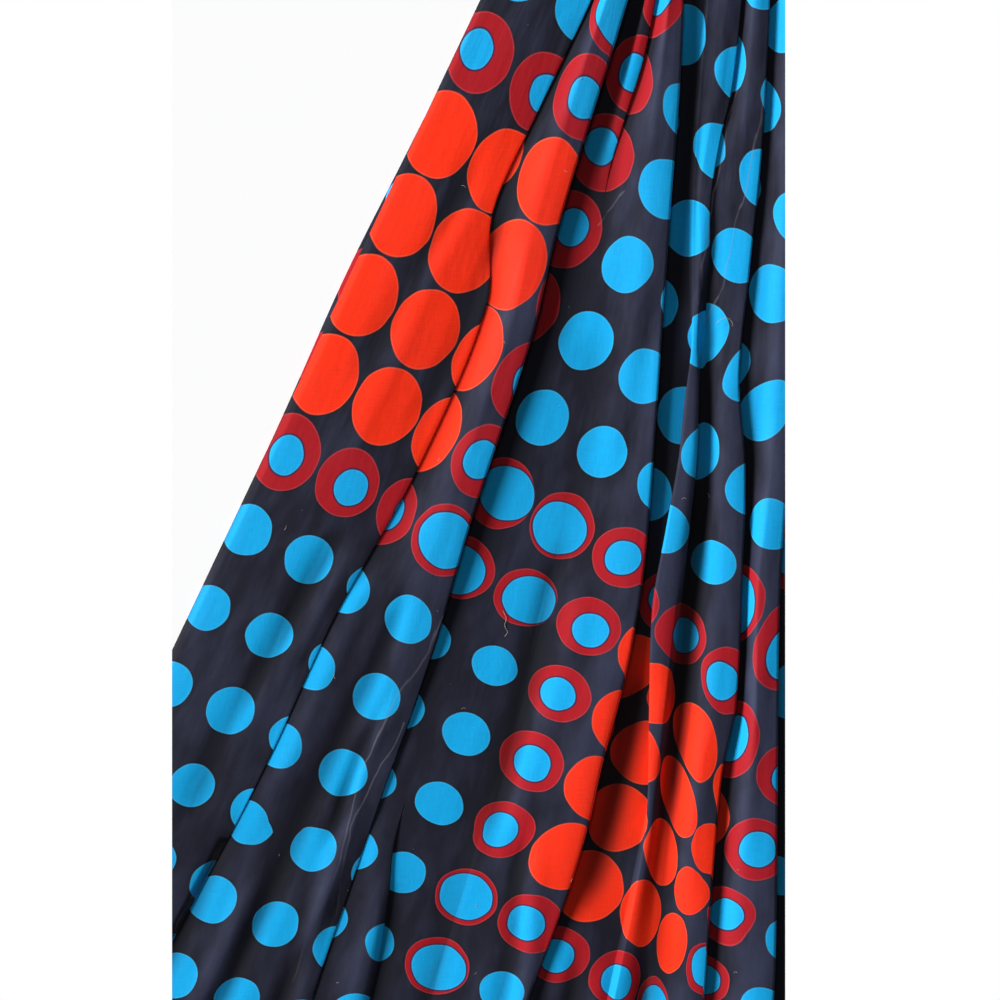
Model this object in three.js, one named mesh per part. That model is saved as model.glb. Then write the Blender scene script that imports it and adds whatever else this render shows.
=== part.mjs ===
// A long gathered, flared skirt of stiff printed cotton, laid flat: its front panel lies on its
// back panel, and both hang from a plain elastic waistband. Millimetres, +Z up from the surface,
// +Y towards the waist, +X to the right as the front is seen. The origin is under the middle.
import * as THREE from 'three';

// Driving sizes.
const WAIST_WIDTH = 380; // the waistband, laid flat
const SKIRT_LENGTH = 850; // waist seam to hem, down the middle
const BAND_HEIGHT = 30;
const SIDE_FLARE = 0.474; // each side spreads this far for each millimetre down
const WALL = 1.2; // the cloth
const SEAM_GAP = 0.3; // between two pieces at a seam
const HEM_EXTRA = 0.3; // the turned hem is this much thicker
const HEM_DEPTH = 22;

// How the front lies on the back.
const BACK_TOP = WALL;
const EDGE_MIDDLE = BACK_TOP + SEAM_GAP + WALL / 2; // middle of the front's wall at the side seam
const LOW_MIDDLE = 3.4; // middle of the front's wall between its folds
const EDGE_ROUND = 14; // the front rounds down to the side seam over this width
const LAYER_LIFT = 1.4; // a stretch of cloth crowns this much between two folds
const SWELL_HEIGHT = 3.2; // slow waves in the flare, at the hem
const SWELL_TURNS = [9.5, 4.1]; // two wave counts that multiply, in radians from the middle to a side
const SWELL_STARTS = [0.8, -0.5];
const BACK_PEEK = 3; // the back panel shows this far beyond the front, high on the left side
const BACK_PEEK_MIDDLE = 215;
const BACK_PEEK_LENGTH = 70;
const GATHER_RISE = 1.1; // low ripples pressed into the back panel below the waistband
const GATHER_COUNT = 15;
const GATHER_FADE = 120;
const GATHER_EDGE = 8; // the power by which the ripples die away towards the side seams

// How a fold turns over.
const TURN_SHARE = 4.6; // a fold's height for each millimetre of its turns' radius
const SMALLEST_TURN = 1.0;
const LARGEST_TURN = 2.2;
const STEEPEST_ANGLE = THREE.MathUtils.degToRad(174);
const SHORTEST_RUN = 0.3;
const SHALLOWEST_ANGLE = 0.05;
const ANGLE_STEPS = 24; // halvings in the search for a turn's angle
const SMALLEST_HEIGHT = 1;
const SMALLEST_TUCK = 0.1; // for each millimetre of a fold's height
const TURN_POINTS = [0, 0.5, 1]; // shares of a turn
const CLEAR = 1.6; // between a fold's turn and where the next stretch starts to rise
const NARROWEST = 1; // the least width of such a rise
const STRETCH_POINTS = [0, 0.5, 1];
const MITER_LIMIT = 1.5;

// The folds of the front, from left to right. A fold that faces right has its left cloth on top.
// Each row: down = below the waist seam, edge = the fold's edge from the middle of the skirt,
// tuck = the cloth that the fold takes up, height = how far it stands above the cloth beside it.
const FOLD_COLUMNS = ['down', 'edge', 'tuck', 'height'];
const FOLDS = [
  { name: 'side tuck', faces: 'right', rows: [
    [0, -122, 6, 4.5], [39, -136, 10, 5], [110, -170, 10, 5], [177, -200, 8, 5], [237, -204, 9, 5],
    [346, -250, 16, 6], [433, -297, 17, 6], [538, -343, 8, 5], [689, -422, 5, 4.5], [850, -500, 1, 3],
  ] },
  { name: 'long pleat', faces: 'right', rows: [
    [0, -104, 13, 7], [39, -112, 27, 9], [182, -156, 29, 9], [257, -174, 29, 9], [378, -214, 29, 9],
    [463, -239, 25, 9], [515, -257, 18, 8], [559, -273, 12, 7], [611, -291, 4, 5], [850, -367, 1, 3],
  ] },
  { name: 'valley, left side', faces: 'right', rows: [
    [0, -75, 13, 8], [88, -78, 22, 10], [169, -84, 20, 10], [254, -90, 14, 10], [299, -93, 10, 10],
    [403, -101, 9, 9], [455, -109, 12, 9], [492, -117, 16, 9], [536, -129, 17, 9], [572, -137, 16, 9],
    [619, -151, 12, 8], [689, -177, 5, 7], [850, -234, 2, 5],
  ] },
  { name: 'valley, right side', faces: 'left', rows: [
    [0, -56, 5, 8], [78, -63, 5, 9], [177, -69, 5, 10], [260, -70, 6, 10], [300, -75, 16, 10],
    [337, -79, 22, 10], [382, -87, 26, 10], [434, -96, 26, 10], [502, -98, 22, 9], [572, -100, 17, 9],
    [645, -112, 12, 8], [850, -156, 2, 5],
  ] },
  { name: 'pressed tuck', faces: 'right', rows: [
    [0, -38, 5, 5], [39, -38, 10, 5], [101, -45, 12, 5], [125, -51, 13, 5], [167, -58, 12, 5],
    [202, -59, 8, 5], [240, -61, 2, 3], [299, -62, 1, 1.5], [850, -114, 0.5, 1],
  ] },
  { name: 'middle pleat', faces: 'right', rows: [
    [0, -20, 9, 7], [39, -20, 18, 7], [136, -25, 21, 7], [214, -33, 17, 7], [286, -40, 21, 8],
    [341, -36, 23, 8], [417, -38, 23, 8], [497, -42, 23, 8], [541, -51, 26, 8], [633, -59, 21, 8],
    [689, -63, 14, 7], [850, -83, 4, 5],
  ] },
  { name: 'centre valley, left side', faces: 'right', rows: [
    [0, 0, 9, 8], [39, 4, 16, 8], [169, -1, 17, 9], [299, -6, 18, 10], [364, -10, 23, 11],
    [429, -14, 29, 11], [603, -16, 26, 11], [689, -18, 22, 10], [850, -32, 6, 6],
  ] },
  { name: 'centre valley, right side', faces: 'left', rows: [
    [0, 14, 4, 8], [39, 20, 5, 8], [299, 16, 6, 10], [429, 11, 12, 11], [559, 9, 17, 11],
    [689, 6, 14, 10], [850, 3, 4, 6],
  ] },
  { name: 'right pleat', faces: 'left', rows: [
    [0, 34, 10, 7], [60, 42, 20, 8], [240, 58, 24, 8], [430, 74, 25, 9], [600, 88, 20, 8],
    [720, 96, 11, 7], [850, 104, 3, 5],
  ] },
  { name: 'right valley, left side', faces: 'right', rows: [
    [0, 54, 6, 8], [80, 68, 13, 9], [260, 92, 20, 10], [440, 116, 24, 10], [600, 142, 17, 9],
    [720, 168, 9, 7], [850, 204, 2, 5],
  ] },
  { name: 'right valley, right side', faces: 'left', rows: [
    [0, 70, 7, 8], [80, 86, 15, 9], [260, 112, 22, 10], [440, 138, 20, 9], [600, 170, 13, 8],
    [720, 204, 6, 6], [850, 248, 2, 4],
  ] },
  { name: 'long pleat on the right', faces: 'left', rows: [
    [0, 96, 12, 7], [50, 110, 24, 9], [220, 148, 27, 9], [400, 198, 27, 9], [520, 240, 17, 8],
    [600, 270, 7, 6], [850, 356, 1, 3],
  ] },
  { name: 'side tuck on the right', faces: 'left', rows: [
    [0, 124, 6, 5], [50, 142, 11, 5], [200, 202, 14, 6], [380, 272, 16, 6], [540, 340, 8, 5],
    [700, 408, 4, 4], [850, 466, 1, 3],
  ] },
];

// How finely the walls are cut: rows from waist to hem, and points across.
const ROW_COUNT = 17;
const HEM_ROWS = [0.5, 1]; // further rows inside the hem, as shares of its depth
const SIDE_POINTS = 7;
const BACK_ROWS = 12;
const BACK_POINTS = 30;
const BAND_POINTS = 40;

// The waistband.
const BAND_TOP_MIDDLE = 7.6; // middle of its front wall, over the gathers
const BAND_RISE_WIDTH = 34;
const BAND_RIPPLE = 0.55;
const BAND_RIPPLE_COUNT = 13;
const BAND_ROLL = 1.2; // its upper edge bends down this far
const BAND_ROWS = [ // height up the band, as a share, and how far that row rolls down
  [1, BAND_ROLL], [0.85, 0], [0.4, 0], [0, 0],
];

const seamAngle = Math.atan(SIDE_FLARE);
const hemRise = SKIRT_LENGTH * (1 - Math.cos(seamAngle)); // so that the side seams are as long as the middle
const seamY = SKIRT_LENGTH / 2 - BAND_HEIGHT / 2; // the waist seam, with the whole length centred

const clamp = THREE.MathUtils.clamp;
const ease = (share) => THREE.MathUtils.smoothstep(share, 0, 1);
const halfWidth = (down) => WAIST_WIDTH / 2 + SIDE_FLARE * down;

// A value of a fold's table at any distance down, along a smooth curve through its rows.
function tableValue(rows, column, down) {
  const index = FOLD_COLUMNS.indexOf(column);
  const last = rows.length - 1;
  let place = 0;
  while (place < last - 1 && down > rows[place + 1][0]) place += 1;
  const slope = (at) => {
    const before = rows[Math.max(at - 1, 0)];
    const after = rows[Math.min(at + 1, last)];
    return (after[index] - before[index]) / (after[0] - before[0]);
  };
  const [start, end] = [rows[place], rows[place + 1]];
  const length = end[0] - start[0];
  const t = clamp((down - start[0]) / length, 0, 1);
  const rise = (end[index] - start[index]) * t * t * (3 - 2 * t);
  const lean = length * t * (1 - t) * ((1 - t) * slope(place) - t * slope(place + 1));
  return start[index] + rise + lean;
}

// The turn of a fold that drops by `height` and takes up `tuck`: level, over, back, and level again.
function turnOf(tuck, height) {
  const radius = clamp(height / TURN_SHARE, SMALLEST_TURN, LARGEST_TURN);
  const runAt = (angle) => (height - 2 * radius * (1 - Math.cos(angle))) / Math.sin(angle);
  let low = SHALLOWEST_ANGLE;
  let high = STEEPEST_ANGLE;
  for (let step = 0; step < ANGLE_STEPS; step += 1) {
    const angle = (low + high) / 2;
    const run = runAt(angle);
    const used = 2 * radius * (angle - Math.sin(angle)) + run * (1 - Math.cos(angle));
    if (run > SHORTEST_RUN && used < tuck) low = angle;
    else high = angle;
  }
  return { radius, angle: low, run: Math.max(runAt(low), SHORTEST_RUN) };
}

// The points of a fold in the cross-section, from left to right, at a base height of zero.
function foldPoints(fold, down) {
  const edge = tableValue(fold.rows, 'edge', down);
  const height = Math.max(tableValue(fold.rows, 'height', down), SMALLEST_HEIGHT);
  const tuck = Math.max(tableValue(fold.rows, 'tuck', down), SMALLEST_TUCK * height);
  const { radius, angle, run } = turnOf(tuck, height);
  const reach = radius * Math.sin(Math.min(angle, Math.PI / 2));
  const points = [];
  for (const share of TURN_POINTS) {
    const turned = share * angle;
    points.push([radius * Math.sin(turned), height - radius * (1 - Math.cos(turned))]);
  }
  const top = points[points.length - 1];
  const bottom = [top[0] + run * Math.cos(angle), top[1] - run * Math.sin(angle)];
  for (const share of TURN_POINTS) {
    const left = (1 - share) * angle;
    points.push([
      bottom[0] + radius * (Math.sin(angle) - Math.sin(left)),
      bottom[1] - radius * (Math.cos(left) - Math.cos(angle)),
    ]);
  }
  if (fold.faces === 'right') return points.map(([x, z]) => [edge - reach + x, z]);
  return points.reverse().map(([x, z]) => [edge + reach - x, z]);
}

// The height of the front's base under all its folds: round at the side seams, with slow swells.
function baseHeight(x, down) {
  const toEdge = clamp((halfWidth(down) - Math.abs(x)) / EDGE_ROUND, 0, 1);
  const edge = EDGE_MIDDLE + (LOW_MIDDLE - EDGE_MIDDLE) * (1 - (1 - toEdge) ** 2);
  const [quick, slow] = SWELL_TURNS.map((turns, i) => (turns * x) / halfWidth(down) + SWELL_STARTS[i]);
  const waves = 1 + Math.sin(quick) * Math.cos(slow);
  const crown = (toEdge * SWELL_HEIGHT * waves * ease(down / SKIRT_LENGTH)) / 2;
  return edge + crown;
}

// The front's cross-section at one distance down, the same number of points at each.
function frontSection(down) {
  const half = halfWidth(down);
  const folds = FOLDS.map((fold) => foldPoints(fold, down));
  const points = [];
  const stretch = (from, to, shares, low, high) => {
    const rise = to[1] - from[1];
    for (const share of shares) {
      const x = THREE.MathUtils.lerp(low, high, share);
      const along = clamp((x - from[0]) / Math.max(to[0] - from[0], 0.1), 0, 1);
      points.push([x, from[1] + rise * ease(share) + LAYER_LIFT * Math.sin(Math.PI * along)]);
    }
  };
  const even = Array.from({ length: SIDE_POINTS }, (_, i) => (i + 1) / (SIDE_POINTS + 1));
  points.push([-half, 0]);
  stretch([-half, 0], folds[0][0], even, -half, folds[0][0][0]);
  folds.forEach((fold, index) => {
    points.push(...fold);
    const next = folds[index + 1];
    const from = fold[fold.length - 1];
    if (next === undefined) {
      stretch(from, [half, 0], even, from[0], half);
      return;
    }
    let low = Math.max(...fold.map(([x]) => x)) + CLEAR;
    let high = Math.min(...next.map(([x]) => x)) - CLEAR;
    const middle = (low + high) / 2;
    low = Math.min(low, middle - NARROWEST / 2);
    high = Math.max(high, middle + NARROWEST / 2);
    stretch(from, next[0], STRETCH_POINTS, low, high);
  });
  points.push([half, 0]);
  return points.map(([x, z]) => [x, z + baseHeight(x, down)]);
}

// The across direction at each point of a cross-section, longer at a sharp turn, so that the wall
// keeps its thickness.
function sectionNormals(points) {
  const directions = points.slice(1).map(([x, z], i) => {
    const [dx, dz] = [x - points[i][0], z - points[i][1]];
    const length = Math.hypot(dx, dz);
    return [dx / length, dz / length];
  });
  return points.map((_, i) => {
    const before = directions[Math.max(i - 1, 0)];
    const after = directions[Math.min(i, directions.length - 1)];
    const [sx, sz] = [before[0] + after[0], before[1] + after[1]];
    const size = Math.hypot(sx, sz);
    const miter = Math.min(2 / size, MITER_LIMIT);
    return [(-sz / size) * miter, (sx / size) * miter];
  });
}

// One closed wall from an upper and an under grid of points.
function wallGeometry(upper, under) {
  const [rows, columns] = [upper.length, upper[0].length];
  const positions = [...upper.flat(), ...under.flat()].flat();
  const indices = [];
  const at = (side, row, column) => (side * rows + row) * columns + column;
  const quad = (a, b, c, d) => indices.push(a, b, c, a, c, d);
  for (let row = 0; row < rows - 1; row += 1) {
    for (let column = 0; column < columns - 1; column += 1) {
      const [next, beside] = [row + 1, column + 1];
      quad(at(0, next, column), at(0, next, beside), at(0, row, beside), at(0, row, column));
      quad(at(1, row, beside), at(1, next, beside), at(1, next, column), at(1, row, column));
    }
    quad(at(0, row, 0), at(1, row, 0), at(1, row + 1, 0), at(0, row + 1, 0));
    const side = columns - 1;
    quad(at(0, row + 1, side), at(1, row + 1, side), at(1, row, side), at(0, row, side));
  }
  for (let column = 0; column < columns - 1; column += 1) {
    quad(at(0, 0, column), at(0, 0, column + 1), at(1, 0, column + 1), at(1, 0, column));
    const end = rows - 1;
    quad(at(0, end, column + 1), at(0, end, column), at(1, end, column), at(1, end, column + 1));
  }
  const geometry = new THREE.BufferGeometry();
  geometry.setAttribute('position', new THREE.Float32BufferAttribute(positions, 3));
  geometry.setIndex(indices);
  geometry.computeVertexNormals();
  return geometry;
}

// Distances down a panel whose hem is `length` down at this column, finer in the hem.
function rowsDown(length, count) {
  const body = length - HEM_DEPTH;
  const rows = Array.from({ length: count }, (_, i) => SEAM_GAP + ((body - SEAM_GAP) * i) / (count - 1));
  return [...rows, ...HEM_ROWS.map((share) => body + share * HEM_DEPTH)];
}

const hemDown = (share) => SKIRT_LENGTH - hemRise * share * share;

function frontPanel() {
  const hemSection = frontSection(SKIRT_LENGTH);
  const columnRows = hemSection.map(([x]) => rowsDown(hemDown(x / halfWidth(SKIRT_LENGTH)), ROW_COUNT));
  const upper = [];
  const under = [];
  for (let row = 0; row < ROW_COUNT + HEM_ROWS.length; row += 1) {
    const thick = WALL + (row >= ROW_COUNT ? HEM_EXTRA : 0);
    const above = [];
    const below = [];
    columnRows.forEach((downs, column) => {
      const section = frontSection(downs[row]);
      const [x, z] = section[column];
      const [nx, nz] = sectionNormals(section)[column];
      const y = seamY - downs[row];
      above.push([x + nx * (thick - WALL / 2), y, z + nz * (thick - WALL / 2)]);
      below.push([x - nx * (WALL / 2), y, z - nz * (WALL / 2)]);
    });
    upper.push(above);
    under.push(below);
  }
  return wallGeometry(upper, under);
}

// The back panel lies flat on the surface. Its gathers are pressed low into its upper side.
function backPanel() {
  const upper = [];
  const under = [];
  for (let row = 0; row < BACK_ROWS + HEM_ROWS.length; row += 1) {
    const above = [];
    const below = [];
    for (let column = 0; column <= BACK_POINTS; column += 1) {
      const share = (2 * column) / BACK_POINTS - 1;
      const down = rowsDown(hemDown(share), BACK_ROWS)[row];
      const fromPeek = (down - BACK_PEEK_MIDDLE) / BACK_PEEK_LENGTH;
      const peek = column === 0 ? BACK_PEEK * Math.exp(-(fromPeek ** 2)) : 0;
      const x = share * halfWidth(down) - peek;
      const inside = 1 - share ** GATHER_EDGE;
      const ripple = (1 + Math.cos(GATHER_COUNT * Math.PI * share)) / 2;
      const raised = GATHER_RISE * ripple * inside * ease(1 - down / GATHER_FADE);
      above.push([x, seamY - down, BACK_TOP + raised]);
      below.push([x, seamY - down, 0]);
    }
    upper.push(above);
    under.push(below);
  }
  return wallGeometry(upper, under);
}

// Half of the waistband, from heightAt(share, roll), which gives the top and the underside of its
// wall at each point across. Its upper edge rolls down a little.
function bandGeometry(heightAt) {
  const upper = [];
  const under = [];
  for (const [upShare, roll] of BAND_ROWS) {
    const above = [];
    const below = [];
    for (let column = 0; column <= BAND_POINTS; column += 1) {
      const share = (2 * column) / BAND_POINTS - 1;
      const x = (share * WAIST_WIDTH) / 2;
      const [top, underside] = heightAt(share, roll);
      above.push([x, seamY + upShare * BAND_HEIGHT, top]);
      below.push([x, seamY + upShare * BAND_HEIGHT, underside]);
    }
    upper.push(above);
    under.push(below);
  }
  return wallGeometry(upper, under);
}

function frontBandHeight(share, roll) {
  const toEdge = clamp(((1 - Math.abs(share)) * WAIST_WIDTH) / 2 / BAND_RISE_WIDTH, 0, 1);
  const ripple = BAND_RIPPLE * Math.cos(BAND_RIPPLE_COUNT * Math.PI * share);
  const rise = (BAND_TOP_MIDDLE - EDGE_MIDDLE) * Math.sin((toEdge * Math.PI) / 2);
  const middle = EDGE_MIDDLE + rise + (ripple - roll) * toEdge;
  return [middle + WALL / 2, middle - WALL / 2];
}

const backBandHeight = () => [BACK_TOP, 0];

const cotton = new THREE.MeshStandardMaterial({ color: 0x23232e, roughness: 0.82, metalness: 0 });
const cottonBack = new THREE.MeshStandardMaterial({ color: 0x262633, roughness: 0.84, metalness: 0 });
const bandCotton = new THREE.MeshStandardMaterial({ color: 0x20202b, roughness: 0.85, metalness: 0 });

function named(name, geometry, material) {
  const mesh = new THREE.Mesh(geometry, material);
  mesh.name = name;
  return mesh;
}

const skirt = new THREE.Group();
skirt.add(
  named('front_panel', frontPanel(), cotton),
  named('back_panel', backPanel(), cottonBack),
  named('waistband_front', bandGeometry(frontBandHeight), bandCotton),
  named('waistband_back', bandGeometry(backBandHeight), bandCotton),
);

export default skirt;
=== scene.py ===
"""A long gathered, flared skirt of stiff printed cotton, laid flat on a pale surface.

Its front panel lies in knife pleats and soft folds on its back panel, and both are sewn to a ruched
elastic waistband. +Y points to the waist, +X to the right as the front is seen, and +Z up.
"""

import math

import bpy
import numpy as np
from bpy.props import BoolProperty, FloatProperty, FloatVectorProperty, IntProperty, PointerProperty
from bpy.types import Operator, Panel, PropertyGroup
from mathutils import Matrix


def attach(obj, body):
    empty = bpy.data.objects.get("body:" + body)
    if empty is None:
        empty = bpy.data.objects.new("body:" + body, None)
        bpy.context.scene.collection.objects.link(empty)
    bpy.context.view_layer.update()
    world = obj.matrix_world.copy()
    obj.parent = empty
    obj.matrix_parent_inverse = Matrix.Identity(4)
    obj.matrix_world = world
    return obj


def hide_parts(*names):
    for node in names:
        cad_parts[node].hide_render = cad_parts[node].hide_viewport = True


bl_info = {
    "name": "Flared Skirt",
    "version": (1, 0, 0),
    "blender": (4, 5, 0),
    "location": "View3D > Sidebar > Skirt",
    "description": "Dresses a packed flared skirt in printed cotton",
    "category": "Object",
}

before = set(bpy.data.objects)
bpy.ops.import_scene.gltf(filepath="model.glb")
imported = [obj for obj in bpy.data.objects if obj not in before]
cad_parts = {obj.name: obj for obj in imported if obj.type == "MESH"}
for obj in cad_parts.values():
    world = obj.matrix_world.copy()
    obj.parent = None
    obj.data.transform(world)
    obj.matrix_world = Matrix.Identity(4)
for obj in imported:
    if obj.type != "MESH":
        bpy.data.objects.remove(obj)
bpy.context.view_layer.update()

MM = 0.001

# Sizes of the skirt, in millimetres.
WAIST_WIDTH = 380.0
SKIRT_LENGTH = 850.0
BAND_HEIGHT = 30.0
SIDE_FLARE = 0.474
SEAM_GAP = 0.3
HEM_DEPTH = 22.0
SEAM_RIDGE = 7.0
SEAM_Y = SKIRT_LENGTH / 2 - BAND_HEIGHT / 2
HEM_RISE = SKIRT_LENGTH * (1 - math.cos(math.atan(SIDE_FLARE)))

# How the hem's stitches press in, how the hem stands proud below them and how a side seam does, as a
# height and the width that it is spread over. Millimetres.
HEM_DENT = (0.35, 2.5)
HEM_PROUD = (0.25, 3.0)
SEAM_PROUD = (0.4, 2.2)
THREAD_LIFT = 0.1

# How the front lies on the back, in millimetres.
EDGE_MIDDLE = 2.1
LOW_MIDDLE = 3.4
EDGE_ROUND = 14.0
LAYER_LIFT = 1.4
FULL_CROWN = 2.0
SWELL_HEIGHT = 3.2
SWELL_TURNS = (9.5, 4.1)
SWELL_STARTS = (0.8, -0.5)

# How a fold turns over.
TURN_SHARE = 5.6
SMALLEST_TURN = 0.2
LARGEST_TURN = 2.2
STEEPEST_ANGLE = math.radians(177)
SHALLOWEST_ANGLE = 0.006
SHORTEST_RUN = 0.3
SMALLEST_HEIGHT = 0.004
SMALLEST_TUCK = 0.1
FLAT_BELOW = 0.4
FLAT_SPREAD = 1.2
CLEAR = 1.6
NARROWEST = 1.0
ANGLE_STEPS = 24
TURN_POINTS = 5

# The folds of the front, from left to right. One that faces right has its left cloth on top. Each row
# holds the distance down from the waist seam, the fold's edge from the skirt's middle, the cloth that
# it takes up, and its height above the cloth beside it.
FOLDS = (
    ("side tuck", "right", (
        (0, -122, 6, 2.6), (39, -136, 10, 2), (110, -170, 10, 1.5), (177, -200, 8, 1.4), (237, -204, 9, 1.4),
        (346, -250, 16, 1.5), (433, -299, 16, 1.3), (470, -317, 13, 1.1), (521, -340, 11, 1),
        (573, -366, 10, 0.9), (624, -394, 8, 0.8), (689, -428, 5, 0.7), (850, -506, 1, 0.4),
    )),
    ("long pleat", "right", (
        (0, -104, 13, 7), (39, -112, 27, 9), (182, -156, 29, 9), (257, -174, 29, 9), (378, -214, 29, 8),
        (450, -235, 29, 5), (501, -252, 25.5, 3), (556, -272, 20, 2), (611, -291, 12, 1.4), (690, -318, 5, 1),
        (850, -367, 0, 0),
    )),
    ("low tuck", "right", (
        (0, -96, 0, 0), (39, -103, 0, 0), (182, -143, 0, 0), (378, -186, 0, 0), (500, -228, 0, 0),
        (560, -256, 0, 0), (592, -265, 9, 1.8), (624, -268, 11, 1.8), (689, -280, 8, 1.5), (850, -334, 0, 0),
    )),
    ("ring tuck", "right", (
        (0, -88, 5, 4), (39, -94, 12, 3.2), (78, -102, 12, 2.6), (110, -112, 6, 1.8), (150, -124, 1, 0.6),
        (190, -130, 0, 0), (377, -156, 0, 0), (611, -214, 0, 0), (850, -299, 0, 0),
    )),
    ("valley, left side", "right", (
        (0, -75, 13, 7.5), (88, -78, 23, 9), (169, -84, 25, 9.5), (254, -90, 21, 9.5), (299, -93, 14, 9.5),
        (403, -101, 9, 9), (455, -109, 12, 9.5), (492, -117, 17, 10), (536, -129, 19, 10), (572, -137, 17, 9),
        (619, -151, 11, 7), (689, -177, 4, 4), (850, -234, 1, 1.5),
    )),
    ("valley, right side", "left", (
        (0, -56, 2, 3), (78, -63, 1, 2.5), (177, -69, 1, 2.5), (260, -70, 5, 5), (300, -75, 18, 8),
        (337, -79, 26, 9), (382, -87, 30, 9), (434, -96, 30, 9), (502, -98, 18, 8), (572, -100, 5, 6),
        (645, -112, 2, 4.5), (740, -132, 1, 3), (850, -156, 0.5, 1.5),
    )),
    ("pressed tuck", "right", (
        (0, -38, 5, 4), (39, -38, 10, 4), (101, -45, 12, 3.6), (125, -51, 13, 3.4), (167, -58, 12, 3.2),
        (202, -59, 8, 3), (240, -61, 1, 1), (285, -62, 0, 0), (420, -72, 0, 0), (850, -114, 0, 0),
    )),
    ("middle pleat", "right", (
        (0, -20, 9, 7), (39, -20, 18, 7), (136, -25, 21, 7), (214, -33, 17, 7), (286, -40, 21, 8),
        (341, -36, 23, 8), (417, -38, 23, 8), (497, -42, 23, 8), (541, -51, 26, 8), (633, -59, 21, 8),
        (689, -63, 14, 7), (850, -83, 4, 5),
    )),
    ("centre valley, left side", "right", (
        (0, 0, 9, 8), (39, 4, 16, 8), (169, -1, 17, 9), (299, -6, 18, 10), (364, -10, 23, 11),
        (429, -14, 29, 11), (603, -16, 26, 11), (689, -18, 22, 10), (850, -32, 6, 6),
    )),
    ("centre valley, right side", "left", (
        (0, 14, 4, 8), (39, 20, 5, 8), (299, 16, 6, 10), (429, 11, 12, 11), (559, 9, 17, 11),
        (689, 6, 14, 10), (850, 3, 4, 6),
    )),
    ("right pleat", "left", (
        (0, 34, 10, 7), (60, 42, 20, 8), (240, 58, 24, 8), (430, 74, 25, 9), (600, 88, 20, 8),
        (720, 96, 11, 7), (850, 104, 3, 5),
    )),
    ("right valley, left side", "right", (
        (0, 54, 6, 8), (80, 68, 13, 9), (260, 92, 20, 10), (440, 116, 24, 10), (600, 142, 17, 9),
        (720, 168, 9, 7), (850, 204, 2, 5),
    )),
    ("right valley, right side", "left", (
        (0, 70, 7, 8), (80, 86, 15, 9), (260, 112, 22, 10), (440, 138, 20, 9), (600, 170, 13, 8),
        (720, 204, 6, 6), (850, 248, 2, 4),
    )),
    ("long pleat on the right", "left", (
        (0, 96, 12, 7), (50, 110, 24, 9), (220, 148, 27, 9), (400, 198, 27, 9), (520, 240, 17, 8),
        (600, 270, 7, 6), (850, 356, 1, 3),
    )),
    ("side tuck on the right", "left", (
        (0, 124, 6, 5), (50, 142, 11, 5), (200, 202, 14, 6), (380, 272, 16, 6), (540, 340, 8, 5),
        (700, 408, 4, 4), (850, 466, 1, 3),
    )),
)

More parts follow.
